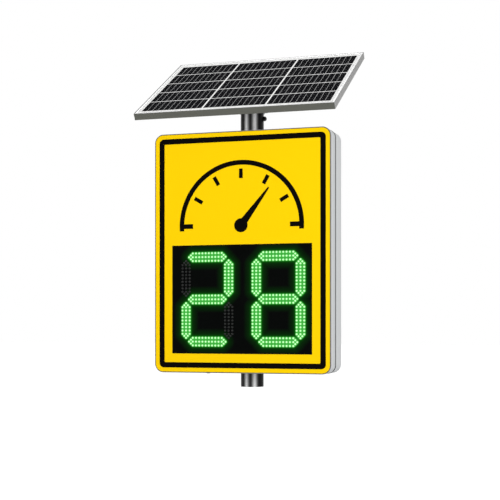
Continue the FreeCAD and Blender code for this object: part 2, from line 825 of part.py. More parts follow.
def equipment():
    node("equipment_plate", "head", box("plate_width", "plate_thickness", "plate_height", "-plate_width / 2",
                                        "plate_front_y", "plate_bottom"))
    pillars = [rod("pillar_radius", "plate_gap", Y_AXIS, f"{side} * (plate_width / 2 - equipment_gap)",
                   "plate_back_y", f"rail_spread / 2 + {up} * (rail_height / 2 - spacer_inset)")
               for side in (-1, 1) for up in (-1, 1)]
    node("plate_spacers", "head", *pillars)
    left = "(battery_margin - plate_width / 2)"
    low = "(plate_bottom + battery_margin)"
    node("battery", "head", box("battery_width", "battery_depth", "battery_height", left,
                                "plate_front_y - battery_depth", low))
    band_z = f"{low} + battery_height / 2 - strap_width / 2"
    front_y = "plate_front_y - battery_depth - strap_sheet"
    reach = "battery_depth + strap_sheet"
    parts = [box("battery_width + 2 * strap_sheet", "strap_sheet", "strap_width", f"{left} - strap_sheet",
                 front_y, band_z)]
    for side in (f"{left} - strap_sheet", f"{left} + battery_width"):
        parts.append(box("strap_sheet", reach, "strap_width", side, front_y, band_z))
    ear_y = "plate_front_y - strap_sheet"
    ears = (("strap_ear", f"{left} + battery_width"), ("battery_margin", f"{left} - battery_margin"))
    for width, x in ears:
        parts.append(box(width, "strap_sheet", "strap_width", x, ear_y, band_z))
    node("battery_strap", "head", fuse(*parts))
    right = f"({left} + battery_width + equipment_gap)"
    node("charge_controller", "head", box("controller_width", "controller_depth", "controller_height", right,
                                          "plate_front_y - controller_depth",
                                          "plate_bottom + plate_height - controller_height - battery_margin"))
    logic_y = "plate_front_y - logic_gap"
    node("control_board", "head", box("logic_width", "board_thickness", "logic_height", right,
                                      f"{logic_y} - board_thickness", low))
    studs = [rod("spacer_radius", "logic_gap", Y_AXIS,
                 f"{right} + logic_width / 2 + {across} * (logic_width / 2 - spacer_inset)", logic_y,
                 f"{low} + logic_height / 2 + {up} * (logic_height / 2 - spacer_inset)")
             for across in (-1, 1) for up in (-1, 1)]
    node("control_spacers", "head", *studs)


def gland_place(y):
    """Where the cable gland stands in the back wall."""
    return ("sign_width / 2 - gland_inset", y, "sign_height / 2 - gland_inset")


def vent_place(z):
    """Where the breather stands in the lower wall of the rear shell."""
    return ("-sign_width / 4", "(seam_back_y + back_y) / 2", z)


def wall_fittings():
    nut_y = "back_inner_y - gland_collar"
    gland = fuse(
        hexagon("gland_flats", "gland_collar", Y_AXIS, *gland_place(nut_y)),
        rod("gland_radius", "shell_wall", Y_AXIS, *gland_place("back_inner_y")),
        hexagon("gland_flats", "gland_collar", Y_AXIS, *gland_place("back_y")),
        rod("gland_radius", "gland_dome", Y_AXIS, *gland_place("back_y + gland_collar")),
    )
    bore = rod("gland_bore", "shell_wall + 2 * gland_collar + gland_dome", Y_AXIS, *gland_place(nut_y))
    node("cable_gland", "head", cut(gland, bore))
    low = "-sign_height / 2"
    down = Z_AXIS * -1
    vent = fuse(
        rod("vent_radius", "vent_length", Z_AXIS, *vent_place(low)),
        hexagon("vent_flats", "vent_collar", down, *vent_place(low)),
        rod("vent_radius", "vent_knob", down, *vent_place(low)),
    )
    node("vent_plug", "head", vent)


# The clamps

def clamp(name, level):
    """A saddle between the housing and the mast, and the band that holds the mast in it."""
    middle = f"(sign_centre + {level} * rail_spread / 2)"
    low = f"{middle} - saddle_height / 2"
    flange = box("2 * saddle_flange", "saddle_pad", "saddle_height", "-saddle_flange", "back_y", low)
    cheeks = box("2 * saddle_cheek", "-clamp_face - back_y", "saddle_height", "-saddle_cheek", "back_y", low)
    holes = [rod("middle_radius", "saddle_pad", Y_AXIS, f"{side} * saddle_bolt_x", "back_y", middle)
             for side in (-1, 1)]
    holes += [rod("large_radius", "mast_radius - 2 * clamp_face", Y_AXIS, f"{side} * clamp_bolt_x",
                  "-mast_radius + clamp_face", middle) for side in (-1, 1)]
    seat = rod("mast_radius", "saddle_height", Z_AXIS, "0", "0", low)
    node(f"saddle_{name}", "plain", cut(fuse(flange, cheeks), seat, *holes))

    band_low = f"{middle} - band_height / 2"
    reach = "(mast_radius + band_thickness)"
    outer = rod(reach, "band_height", Z_AXIS, "0", "0", band_low)
    ear_y = "clamp_gap - clamp_face"
    ears = box("2 * saddle_cheek", "band_thickness", "band_height", "-saddle_cheek", ear_y, band_low)
    front = box(f"2 * {reach}", f"{reach} + {ear_y}", "band_height", f"-{reach}", f"-{reach}", band_low)
    bore = rod("mast_radius", "band_height", Z_AXIS, "0", "0", band_low)
    bolt_holes = [rod("large_radius", "band_thickness", Y_AXIS, f"{side} * clamp_bolt_x", ear_y, middle)
                  for side in (-1, 1)]
    node(f"band_{name}", "plain", cut(fuse(cut(outer, front), ears), bore, *bolt_holes))
    return middle


def clamps():
    middles = [clamp("lower", "-1"), clamp("upper", "1")]
    backwards = V(0, -1, 0)
    ear_back = "clamp_gap - clamp_face + band_thickness"
    clamp_length = f"{ear_back} + mast_radius - clamp_face"
    bolt_length = f"saddle_pad + shell_wall + rail_depth + {nut_height('middle')}"
    clamp_places = [(f"{side} * clamp_bolt_x", middle) for middle in middles for side in (-1, 1)]
    flange_places = [(f"{side} * saddle_bolt_x", middle) for middle in middles for side in (-1, 1)]
    node("clamp_bolts", "plain", *[screw("large", clamp_length, backwards, x, ear_back, z)
                                   for x, z in clamp_places])
    node("saddle_bolts", "plain", *[screw("middle", bolt_length, backwards, x, "back_y + saddle_pad", z)
                                    for x, z in flange_places])
    node("saddle_nuts", "plain", *[nut("middle", backwards, x, "rail_front_y", z) for x, z in flange_places])


# The mast and the bracket on its upper end

def mast():
    # The foot is turned a little thinner for its socket, up to a shoulder
    outside = fuse(rod("foot_radius", "foot_length", Z_AXIS),
                   rod("mast_radius", "mast_top - foot_length", Z_AXIS, z="foot_length"))
    tube = cut(outside, rod("bore_radius", "mast_top", Z_AXIS),
               rod("middle_radius", "mast_diameter", X_AXIS, z="set_screw_z"),
               rod("middle_radius", "mast_diameter", Y_AXIS, z="set_screw_z"))
    node("mast", "plain", tube)
    length = "set_screw_reach + mast_wall + spigot_clearance + groove_depth - slot_clearance"
    head = "mast_radius + set_screw_reach"
    node("set_screws", "plain",
         screw("middle", length, V(-1, 0, 0), head, "0", "set_screw_z"),
         screw("middle", length, V(0, -1, 0), "0", head, "set_screw_z"))


def spigot():
    radius = "bore_radius - spigot_clearance"
    low = "mast_top - spigot_length"
    groove_low = "set_screw_z - groove_width / 2"
    tube = cut(rod(radius, "spigot_length", Z_AXIS, z=low),
               rod(f"{radius} - spigot_wall", "spigot_length", Z_AXIS, z=low))
    ring = cut(rod("cap_radius", "groove_width", Z_AXIS, z=groove_low),
               rod(f"{radius} - groove_depth", "groove_width", Z_AXIS, z=groove_low))
    cap = rod("cap_radius", "cap_thickness", Z_AXIS, z="mast_top")
    holes = [rod("middle_radius", "cap_thickness", Z_AXIS, x, y, "mast_top") for x, y in yoke_screw_places()]
    node("spigot", "plain", cut(fuse(cut(tube, ring), cap), *holes))


def yoke_screw_places():
    """Four places on the cap of the spigot."""
    return [(f"{side} * yoke_screw_x", f"{end} * yoke_screw_y") for side in (-1, 1) for end in (-1, 1)]


def ear(label, points, thickness, x):
    """A flat ear that stands across X, from one side of the pivot's frame."""
    body = new_body(label)
    sketch = new_sketch(body, "YZ_Plane")
    polygon_loop(sketch, points)
    pad(body, sketch, thickness)
    return locate(body, x=x)


def slot_end(angle):
    """A point on the slot's middle line, from the pivot."""
    return (f"lock_radius * cos({angle})", f"lock_radius * sin({angle})")


def slot_tool():
    """The curved slot of the yoke's ears, as one solid through both of them."""
    width = "2 * yoke_side"
    sector = bind(doc.addObject("Part::Cylinder", "Sector"), Radius="lock_radius + slot_half", Height=width,
                  Angle="slot_last - slot_first")
    # The cylinder's axis turns onto +X and its own X onto +Y
    sector.Placement = FreeCAD.Placement(V(), FreeCAD.Rotation(Y_AXIS, Z_AXIS, X_AXIS, "ZXY"))
    turned = locate(group(sector), x="-yoke_side", axis=X_AXIS, turn="slot_first")
    arc = cut(turned, rod("lock_radius - slot_half", width, X_AXIS, "-yoke_side"))
    ends = [rod("slot_half", width, X_AXIS, "-yoke_side", *slot_end(angle))
            for angle in ("slot_first", "slot_last")]
    return fuse(arc, *ends)


def yoke():
    floor = "(cap_thickness - pivot_height)"
    end_y, end_z = slot_end("slot_last")
    points = [("-yoke_front", floor), ("yoke_back", floor), (f"{end_y} + slot_lobe", end_z),
              (end_y, f"{end_z} + slot_lobe"), ("0", "ear_lobe"), ("-ear_lobe", "0"),
              ("-yoke_front", "-yoke_shoulder")]
    sides = ("-yoke_side", "yoke_side - yoke_plate")
    ears = [ear("YokeEar", points, "yoke_plate", x) for x in sides]
    lobes = [rod("ear_lobe", "yoke_plate", X_AXIS, x) for x in sides]
    lobes += [rod("slot_lobe", "yoke_plate", X_AXIS, x, end_y, end_z) for x in sides]
    base = box("2 * yoke_side", "yoke_front + yoke_back", "yoke_plate", "-yoke_side", "-yoke_front", floor)
    holes = [rod("middle_radius", "yoke_plate", Z_AXIS, x, y, floor) for x, y in yoke_screw_places()]
    holes.append(rod("large_radius + running_gap", "2 * yoke_side", X_AXIS, "-yoke_side"))
    bracket = cut(fuse(base, *ears, *lobes), *holes, slot_tool())
    node("yoke", "plain", locate(bracket, z="pivot_z"))
    length = "yoke_plate + cap_thickness"
    node("yoke_screws", "plain", *[screw("middle", length, V(0, 0, -1), x, y, "yoke_base_z + yoke_plate")
                                   for x, y in yoke_screw_places()])


def lock_place():
    """The locking bolts' place in the cradle, from the pivot."""
    return slot_end("lock_angle")


def bar_places():
    """The slope positions of the two cross bars, from the pivot."""
    return [f"(panel_shift + {side} * bar_spread / 2)" for side in (-1, 1)]


def cradle():
    front = "(panel_shift - bar_spread / 2 - cradle_margin)"
    length = "(bar_spread + 2 * cradle_margin)"
    plate = box("cradle_width", length, "cradle_plate", "-cradle_width / 2", front, "pivot_drop")
    lock_v, lock_n = lock_place()
    points = [("-ear_lobe - ear_flare", "pivot_drop"), ("-ear_lobe", "0"), ("0", "-ear_lobe"),
              (lock_v, f"{lock_n} - lock_lobe"), (f"{lock_v} + lock_lobe", lock_n),
              (f"{lock_v} + lock_lobe + ear_flare", "pivot_drop")]
    sides = ("-cradle_side", "cradle_side - cradle_ear")
    ears = [ear("CradleEar", points, "cradle_ear", x) for x in sides]
    lobes = [rod("ear_lobe", "cradle_ear", X_AXIS, x) for x in sides]
    lobes += [rod("lock_lobe", "cradle_ear", X_AXIS, x, lock_v, lock_n) for x in sides]
    span = "2 * cradle_side"
    holes = [rod("large_radius", span, X_AXIS, "-cradle_side"),
             rod("middle_radius", span, X_AXIS, "-cradle_side", lock_v, lock_n)]
    holes += [rod("frame_radius", "cradle_plate", Z_AXIS, x, v, "pivot_drop")
              for x, v in cradle_bolt_places()]
    node("cradle", "panel", cut(fuse(plate, *ears, *lobes), *holes))


def cradle_bolt_places():
    """The bolts between the cradle and the cross bars."""
    return [(f"{side} * cradle_bolt_x", v) for v in bar_places() for side in (-1, 1)]


def frame_bolt_places():
    """The bolts between the cross bars and the panel's frame."""
    return [(f"{side} * (panel_width / 2 - foot_bolt_inset)", v) for v in bar_places() for side in (-1, 1)]


def bracket_fasteners():
    span = f"2 * cradle_side + {nut_height('large')}"
    node("pivot_bolt", "panel", screw("large", span, X_AXIS, "-cradle_side", "0", "0"))
    node("pivot_nut", "panel", nut("large", X_AXIS, "cradle_side", "0", "0"))
    lock_v, lock_n = lock_place()
    inside = "(yoke_side - yoke_plate - ear_clearance)"
    length = f"cradle_side - {inside} + {nut_height('middle')}"
    node("lock_bolts", "panel",
         screw("middle", length, X_AXIS, "-cradle_side", lock_v, lock_n),
         screw("middle", length, X_AXIS * -1, "cradle_side", lock_v, lock_n))
    node("lock_nuts", "panel",
         nut("middle", X_AXIS, f"-{inside}", lock_v, lock_n),
         nut("middle", X_AXIS * -1, inside, lock_v, lock_n))
    cradle_length = f"cradle_plate + bar_depth + {nut_height('frame')}"
    frame_length = f"bar_depth + foot_thickness + {nut_height('frame')}"
    bars_low = "pivot_drop + cradle_plate"
    bolts = [screw("frame", cradle_length, Z_AXIS, x, v, "pivot_drop") for x, v in cradle_bolt_places()]
    bolts += [screw("frame", frame_length, Z_AXIS, x, v, bars_low) for x, v in frame_bolt_places()]
    node("panel_bolts", "panel", *bolts)
    nuts = [nut("frame", Z_AXIS, x, v, "standoff") for x, v in cradle_bolt_places()]
    nuts += [nut("frame", Z_AXIS, x, v, "standoff + foot_thickness") for x, v in frame_bolt_places()]
    node("panel_nuts", "panel", *nuts)


# The solar panel

def cross_bars():
    for label, v in zip(("cross_bar_front", "cross_bar_rear"), bar_places()):
        low = "pivot_drop + cradle_plate"
        left = "-bar_length / 2"
        front = f"{v} - bar_width / 2"
        tube = cut(box("bar_length", "bar_width", "bar_depth", left, front, low),
                   box("bar_length", "bar_width - 2 * bar_wall", "bar_depth - 2 * bar_wall", left,
                       f"{front} + bar_wall", f"{low} + bar_wall"))
        holes = [rod("frame_radius", "bar_depth", Z_AXIS, x, place, low)
                 for x, place in cradle_bolt_places() + frame_bolt_places() if place == v]
        node(label, "panel", cut(tube, *holes))


def frame_rail(length):
    """One rail of the panel's frame: outer face at y = 0, upper face at z = 0, mitred at both ends."""
    seat = "-(lip_thickness + laminate_depth)"
    foot = "foot_thickness - panel_depth"
    points = [("0", "0"), ("lip_width", "0"),
              ("lip_width", "-lip_thickness"), ("frame_wall", "-lip_thickness"),
              ("frame_wall", seat), ("lip_width", seat),
              ("lip_width", f"{seat} - lip_thickness"), ("frame_wall", f"{seat} - lip_thickness"),
              ("frame_wall", foot), ("foot_width", foot),
              ("foot_width", "-panel_depth"), ("0", "-panel_depth")]
    body = profile("FrameRail", points, length)
    sketch = new_sketch(body, "XY_Plane")
    for side in (-1, 1):
        end = f"{side} * {length} / 2"
        inner_end = f"{end} - {side} * foot_width"
        polygon_loop(sketch, [(end, "0"), (end, "foot_width"), (inner_end, "foot_width")])
    pocket(body, sketch, "4 * panel_depth", both_ways=True)
    return body


def panel_frame():
    half_w = "panel_width / 2"
    half_s = "panel_slope / 2"
    rails_by_side = [
        ("frame_front", "panel_width", "0", f"panel_shift - {half_s}", "0"),
        ("frame_right", "panel_slope", half_w, "panel_shift", "90"),
        ("frame_rear", "panel_width", "0", f"panel_shift + {half_s}", "180"),
        ("frame_left", "panel_slope", f"-{half_w}", "panel_shift", "270"),
    ]
    for label, length, x, v, turn in rails_by_side:
        rail = locate(frame_rail(length), x=x, y=v, z="panel_top", turn=turn)
        holes = [rod("frame_radius", "foot_thickness", Z_AXIS, place, bar, "standoff")
                 for place, bar in frame_bolt_places() if ("-1" in place) == (label == "frame_left")]
        node(label, "panel", cut(rail, *holes) if label in ("frame_left", "frame_right") else rail)


def laminate():
    inset = "frame_wall + glass_clearance"
    width = f"(panel_width - 2 * ({inset}))"
    slope = f"(panel_slope - 2 * ({inset}))"
    for label, thickness, low in (("panel_glass", "glass_thickness", "glass_bottom"),
                                  ("back_sheet", "sheet_back_thickness", "laminate_bottom")):
        node(label, "panel", box(width, slope, thickness, f"-{width} / 2", f"panel_shift - {slope} / 2", low))
    cells = []
    block = f"((cell_field_width - {BLOCKS - 1} * block_gap) / {BLOCKS})"
    line = f"((cell_field_slope - {ROWS - 1} * row_gap) / {ROWS})"
    strip = f"(({block} - {STRIPS - 1} * strip_gap) / {STRIPS})"
    for b in range(BLOCKS):
        for r in range(ROWS):
            for s in range(STRIPS):
                x = f"{b} * ({block} + block_gap) + {s} * ({strip} + strip_gap) - cell_field_width / 2"
                v = f"{r} * ({line} + row_gap) - cell_field_slope / 2 + panel_shift"
                cells.append(box(strip, line, "cell_thickness", x, v, "cell_bottom"))
    node("solar_cells", "panel", *cells)
    junction_v = "panel_shift + junction_offset - junction_slope / 2"
    node("junction_box", "panel", box("junction_width", "junction_slope", "junction_depth",
                                      "-junction_width / 2", junction_v, "laminate_bottom - junction_depth"))


sign_face()
border_stripe()
dial_symbol()
face_gasket()
front_shell()
seam_seal()
rear_shell()
shell_fasteners()
display_mask()
lamps()
boards()
radar()
rails()
equipment()
wall_fittings()
clamps()
mast()
spigot()
yoke()
cradle()
bracket_fasteners()
cross_bars()
panel_frame()
laminate()
doc.recompute()

faults = [f"{item.Label}: {item.State}" for item in doc.Objects if {"Invalid", "Error"} & set(item.State)]
for item in nodes:
    if item.Shape.isNull() or not item.Shape.isValid() or not item.Shape.Solids:
        faults.append(f"{item.Label}: shape is not valid")
if faults:
    raise RuntimeError("; ".join(faults))
for item in nodes:
    item.Shape.exportStep(f"parts/{item.Label}.step")
print(len(nodes), "sub-parts,", sum(len(item.Shape.Solids) for item in nodes), "solids")
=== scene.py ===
import logging
import math
from collections.abc import Sequence
from dataclasses import dataclass
from enum import Enum
from functools import cache

import bmesh
import bpy
from bmesh.types import BMEdge, BMesh, BMFace, BMVert
from bpy.types import Material, Node, NodeSocket, NodeTree
from mathutils import Matrix, Vector
from mathutils.kdtree import KDTree


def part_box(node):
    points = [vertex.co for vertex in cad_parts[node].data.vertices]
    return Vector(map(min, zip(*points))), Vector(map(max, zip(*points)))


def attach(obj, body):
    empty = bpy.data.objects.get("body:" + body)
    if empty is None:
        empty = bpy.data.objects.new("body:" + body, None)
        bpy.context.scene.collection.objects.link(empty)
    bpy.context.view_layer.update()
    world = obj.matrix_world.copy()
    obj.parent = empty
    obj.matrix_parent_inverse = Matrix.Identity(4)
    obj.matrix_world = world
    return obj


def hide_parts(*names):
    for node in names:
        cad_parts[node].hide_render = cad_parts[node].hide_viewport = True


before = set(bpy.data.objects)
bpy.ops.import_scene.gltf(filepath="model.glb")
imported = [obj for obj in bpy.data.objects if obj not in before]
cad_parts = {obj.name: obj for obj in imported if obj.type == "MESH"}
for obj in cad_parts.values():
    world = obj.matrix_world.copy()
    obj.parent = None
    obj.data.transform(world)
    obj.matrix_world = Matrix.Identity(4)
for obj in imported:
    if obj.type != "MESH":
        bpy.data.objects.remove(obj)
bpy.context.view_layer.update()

# Looks of a solar powered speed display sign: the sign head, its lamps, the mast and the solar panel.
# Metres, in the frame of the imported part: +Z up the mast, and the face looks along -Y.

LOG = logging.getLogger("speed_display_sign")

MM = 0.001
BODY_HEAD = "mast_and_head"
BODY_YOKE = "swivel_yoke"
BODY_PANEL = "panel"
TILT_AT_REST = math.radians(30)
X_AXIS = Vector((1, 0, 0))
Y_AXIS = Vector((0, 1, 0))
Z_AXIS = Vector((0, 0, 1))
# The panel's own axes: across, up its slope, and out of its glass
PANEL_SLOPE = Vector((0, math.cos(TILT_AT_REST), math.sin(TILT_AT_REST)))
PANEL_NORMAL = Vector((0, -math.sin(TILT_AT_REST), math.cos(TILT_AT_REST)))
MERGE_DISTANCE = 0.004 * MM
FULL_TURN = 2 * math.pi
# Edges that turn by more than SHARP_TURN are rounded, and faces that meet at less than FLAT_TURN are joined
SHARP_TURN = math.radians(35)
FLAT_TURN = math.radians(0.8)
# The angle in degrees below which the faces of a rounded copy are shaded as one
COPY_SMOOTH = 40.0
# A face looks along a direction when its normal follows it by more than this
FACING = 0.9
# Points beyond the first share of the corner radius are a fastener's head, and points within the second its shank
HEAD_SHARE = 0.9
SHANK_SHARE = 0.8
# How far the roughness of a finish swings, as a share of its mean
ROUGHNESS_SWING = 0.35

Colour = tuple[float, float, float]
Profile = Sequence[tuple[float, float]]
Ramp = tuple[tuple[float, Colour], ...]


# Node helpers

class NodeBoard:
    """A node tree with short calls that add nodes and join their sockets."""

    def __init__(self, tree: NodeTree) -> None:
        """Keeps the tree that the calls work on.

        Args:
            tree: the node tree of a material, a world or a group.
        """
        self.tree = tree

    def add(self, kind: str, inputs: dict[str | int, object] | None = None, **settings: object) -> Node:
        """Adds one node.

        Args:
            kind: the node's type name.
            inputs: values or output sockets for the node's inputs, by name or number.
            settings: the node's own properties.

        Returns:
            The new node.
        """
        node = self.tree.nodes.new(kind)
        for name, value in settings.items():
            setattr(node, name, value)
        for key, value in (inputs or {}).items():
            self.feed(node.inputs[key], value)
        return node

    def feed(self, socket: NodeSocket, value: object) -> None:
        """Sets an input to a value, or joins an output socket to it.

        Args:
            socket: the input socket.
            value: a number, a tuple or an output socket.
        """
        if isinstance(value, NodeSocket):
            self.tree.links.new(value, socket)
        elif socket.type == "RGBA" and len(value) == 3:
            socket.default_value = (*value, 1.0)
        else:
            socket.default_value = value

    def math(self, operation: str, first: object, second: object = 0.0, clamp: bool = False) -> NodeSocket:
        """Adds a Math node.

        Args:
            operation: the operation's name.
            first: its first value or socket.
            second: its second value or socket.
            clamp: whether the result stays between 0 and 1.

        Returns:
            The node's output.
        """
        node = self.add("ShaderNodeMath", {0: first, 1: second}, operation=operation, use_clamp=clamp)
        return node.outputs[0]

    def mix(self, share: object, first: object, second: object, blend: str = "MIX") -> NodeSocket:
        """Adds a Mix node for colours.

        Args:
            share: the share of the second colour.
            first: the first colour.
            second: the second colour.
            blend: how the two are blended.

        Returns:
            The mixed colour.
        """
        node = self.add("ShaderNodeMix", data_type="RGBA", blend_type=blend)
        for index, value in ((0, share), (6, first), (7, second)):
            self.feed(node.inputs[index], value)
        return node.outputs[2]

    def ramp(self, value: NodeSocket, stops: Sequence[tuple[float, Colour]]) -> NodeSocket:
        """Adds a colour ramp.

        Args:
            value: the socket that the ramp reads.
            stops: places from 0 to 1 with their colours, in order.

        Returns:
            The ramp's colour.
        """
        node = self.add("ShaderNodeValToRGB", {0: value})
        elements = node.color_ramp.elements
        for index, (place, colour) in enumerate(stops):
            element = elements[index] if index < 2 else elements.new(place)
            element.position = place
            element.color = (*colour, 1.0)
        return node.outputs[0]

    def remap(self, value: NodeSocket, start: float, end: float, low: float, high: float) -> NodeSocket:
        """Adds a Map Range node.

        Args:
            value: the socket that it reads.
            start: the value that gives the first result.
            end: the value that gives the second result.
            low: the first result.
            high: the second result.

        Returns:
            The node's output.
        """
        return self.add("ShaderNodeMapRange", {0: value, 1: start, 2: end, 3: low, 4: high}).outputs[0]

    def grey(self, level: NodeSocket) -> NodeSocket:
        """Adds a Combine Color node that gives a grey."""
        return self.add("ShaderNodeCombineColor", {0: level, 1: level, 2: level}).outputs[0]

    def attribute(self, name: str) -> NodeSocket:
        """Adds an Attribute node and gives its value."""
        return self.add("ShaderNodeAttribute", attribute_name=name).outputs["Fac"]


class SurfaceBoard(NodeBoard):
    """The nodes of a new material, with its shader and the coordinates on the object."""

    def __init__(self, name: str, kind: str, inputs: dict[str, object]) -> None:
        """Starts the material.

        Args:
            name: the material's name.
            kind: the type name of its shader.
            inputs: the constants of the shader.
        """
        self.material = bpy.data.materials.new(name)
        self.material.use_nodes = True
        super().__init__(self.material.node_tree)
        self.tree.nodes.clear()
        self.shader = self.add(kind, inputs)
        self.output = self.add("ShaderNodeOutputMaterial", {"Surface": self.shader.outputs[0]})
        self.place = self.add("ShaderNodeTexCoord").outputs["Object"]

    def shade(self, name: str, value: object) -> None:
        """Sets an input of the shader, or joins a socket to it."""
        self.feed(self.shader.inputs[name], value)


VECTOR, COLOR, FLOAT = "NodeSocketVector", "NodeSocketColor", "NodeSocketFloat"
MID_GREY = (0.5, 0.5, 0.5, 1.0)
DUST_COLOUR = (0.42, 0.4, 0.36, 1.0)


def shader_group(name: str, inputs: Sequence[tuple[str, str, object]],
                 outputs: Sequence[tuple[str, str]]) -> tuple[NodeBoard, Node, Node]:
    """Starts a shader node group with named sockets.

    Args:
        name: the group's name.
        inputs: name, socket type and default value of each input.
        outputs: name and socket type of each output.

    Returns:
        The group's board, its input node and its output node.
    """
    tree = bpy.data.node_groups.new(name, "ShaderNodeTree")
    for label, kind, default in inputs:
        socket = tree.interface.new_socket(label, in_out="INPUT", socket_type=kind)
        if default is not None:
            socket.default_value = default
    for label, kind in outputs:
        tree.interface.new_socket(label, in_out="OUTPUT", socket_type=kind)
    board = NodeBoard(tree)
    return board, board.add("NodeGroupInput"), board.add("NodeGroupOutput")


def build_mottle_group() -> NodeTree:
    """Makes the group that lets a colour wander a little over a surface.

    Returns:
        The group, with the output Color.
    """
    board, given, result = shader_group(
        "colour_mottle",
        [("Vector", VECTOR, None), ("Color", COLOR, MID_GREY), ("Amount", FLOAT, 0.06), ("Scale", FLOAT, 12.0)],
        [("Color", COLOR)])
    broad = board.add("ShaderNodeTexNoise", {"Vector": given.outputs["Vector"], "Scale": given.outputs["Scale"],
                                             "Detail": 5.0, "Roughness": 0.6})
    centred = board.math("SUBTRACT", broad.outputs[0], 0.5)
    swing = board.math("MULTIPLY", centred, given.outputs["Amount"])
    gain = board.math("ADD", board.math("MULTIPLY", swing, 2.0), 1.0)
    board.feed(result.inputs["Color"], board.mix(1.0, given.outputs["Color"], board.grey(gain), "MULTIPLY"))
    return board.tree


def build_grain_group() -> NodeTree:
    """Makes the group for the fine texture of a finish.

    Returns:
        The group, with the outputs Roughness and Height.
    """
    board, given, result = shader_group(
        "surface_grain",
        [("Vector", VECTOR, None), ("Stretch", VECTOR, (1.0, 1.0, 1.0)), ("Scale", FLOAT, 400.0),
         ("Roughness", FLOAT, 0.5), ("Spread", FLOAT, 0.1)],
        [("Roughness", FLOAT), ("Height", FLOAT)])
    drawn = board.add("ShaderNodeMapping", {"Vector": given.outputs["Vector"], "Scale": given.outputs["Stretch"]})
    fine = board.add("ShaderNodeTexNoise", {"Vector": drawn.outputs[0], "Scale": given.outputs["Scale"],
                                            "Detail": 3.0, "Roughness": 0.55})
    centred = board.math("SUBTRACT", fine.outputs[0], 0.5)
    swing = board.math("MULTIPLY", centred, given.outputs["Spread"])
    board.feed(result.inputs["Roughness"], board.math("ADD", given.outputs["Roughness"], swing, clamp=True))
    board.feed(result.inputs["Height"], fine.outputs[0])
    return board.tree


def build_dust_group() -> NodeTree:
    """Makes the group that lays a little dust on surfaces that look up.

    Returns:
        The group, with the output Color.
    """
    board, given, result = shader_group(
        "settled_dust",
        [("Vector", VECTOR, None), ("Color", COLOR, MID_GREY), ("Dust", COLOR, DUST_COLOUR),
         ("Amount", FLOAT, 0.15)],
        [("Color", COLOR)])
    geometry = board.add("ShaderNodeNewGeometry")
    upward = board.add("ShaderNodeSeparateXYZ", {0: geometry.outputs["Normal"]}).outputs[2]
    patches = board.add("ShaderNodeTexNoise", {"Vector": given.outputs["Vector"], "Scale": 28.0, "Detail": 4.0})
    patchy = board.math("MULTIPLY", board.remap(upward, 0.2, 1.0, 0.0, 1.0), patches.outputs[0])
    share = board.math("MULTIPLY", patchy, given.outputs["Amount"], clamp=True)
    board.feed(result.inputs["Color"], board.mix(share, given.outputs["Color"], given.outputs["Dust"]))
    return board.tree


MOTTLE = build_mottle_group()
GRAIN = build_grain_group()
DUST = build_dust_group()


# Finishes

class Grain(Enum):
    """How the fine texture of a finish runs: stretch along X, Y and Z, and its scale."""

    EVEN = (1.0, 1.0, 1.0, 900.0)
    ORANGE_PEEL = (1.0, 1.0, 1.0, 420.0)
    CAST = (1.0, 1.0, 1.0, 700.0)
    ALONG_X = (0.02, 1.0, 1.0, 1600.0)
    ALONG_Z = (1.0, 1.0, 0.02, 1400.0)


class RailPaintedShade(Enum):
    """The painted light and shade of a panel rail's faces, with the value of their attribute."""

    FRONT = 0.0
    DARK_EDGE = 0.25
    END = 0.5
    LIP = 1.0


@dataclass(frozen=True)
class Finish:
    """A finish of one surface, from the plain values of its shader.

    Attributes:
        name: the material's name.
        colour: its linear base colour.
        roughness: its mean roughness.
        metallic: 1 on unpainted metal.
        specular: the specular level, 0.5 on common plastics and paints.
        mottle: the share by which the colour wanders.
        mottle_scale: the scale of that wandering.
        grain: how the fine texture runs.
        bump: the depth of the fine texture, in metres.
        dust: the share of dust on what looks up.
    """

    name: str
    colour: Colour
    roughness: float = 0.5
    metallic: float = 0.0
    specular: float = 0.5
    mottle: float = 0.06
    mottle_scale: float = 9.0
    grain: Grain = Grain.EVEN
    bump: float = 0.00002
    dust: float = 0.0

    def build(self) -> Material:
        """Makes the material.

        Returns:
            The new material.
        """
        board = SurfaceBoard(self.name, "ShaderNodeBsdfPrincipled",
                             {"Metallic": self.metallic, "Specular IOR Level": self.specular})
        board.shade("Base Color", self.weathered(board, self.pattern(board)))
        self.texture(board)
        return board.material

    def pattern(self, board: SurfaceBoard) -> Colour | NodeSocket:
        """Gives the colour before it wanders and gathers dust.

        Args:
            board: the material's nodes.

        Returns:
            A colour, or the socket that gives it.
        """
        return self.colour

    def weathered(self, board: SurfaceBoard, colour: Colour | NodeSocket) -> NodeSocket:
        """Lets a colour wander and gathers dust on it.

        Args:
            board: the material's nodes.
            colour: a colour, or the socket that gives it.

        Returns:
            The colour to show.
        """
        given = {"Vector": board.place, "Color": colour, "Amount": self.mottle, "Scale": self.mottle_scale}
        shown = board.add("ShaderNodeGroup", given, node_tree=MOTTLE).outputs["Color"]
        if self.dust:
            given = {"Vector": board.place, "Color": shown, "Amount": self.dust}
            shown = board.add("ShaderNodeGroup", given, node_tree=DUST).outputs["Color"]
        return shown

    def texture(self, board: SurfaceBoard) -> None:
        """Gives the shader its fine texture.

        Args:
            board: the material's nodes.
        """
        *stretch, scale = self.grain.value
        given = {"Vector": board.place, "Stretch": stretch, "Scale": scale, "Roughness": self.roughness,
                 "Spread": ROUGHNESS_SWING * self.roughness}
        grain = board.add("ShaderNodeGroup", given, node_tree=GRAIN)
        board.shade("Roughness", grain.outputs["Roughness"])
        bump = board.add("ShaderNodeBump", {"Height": grain.outputs["Height"], "Distance": self.bump,
                                            "Strength": 1.0})
        board.shade("Normal", bump.outputs[0])


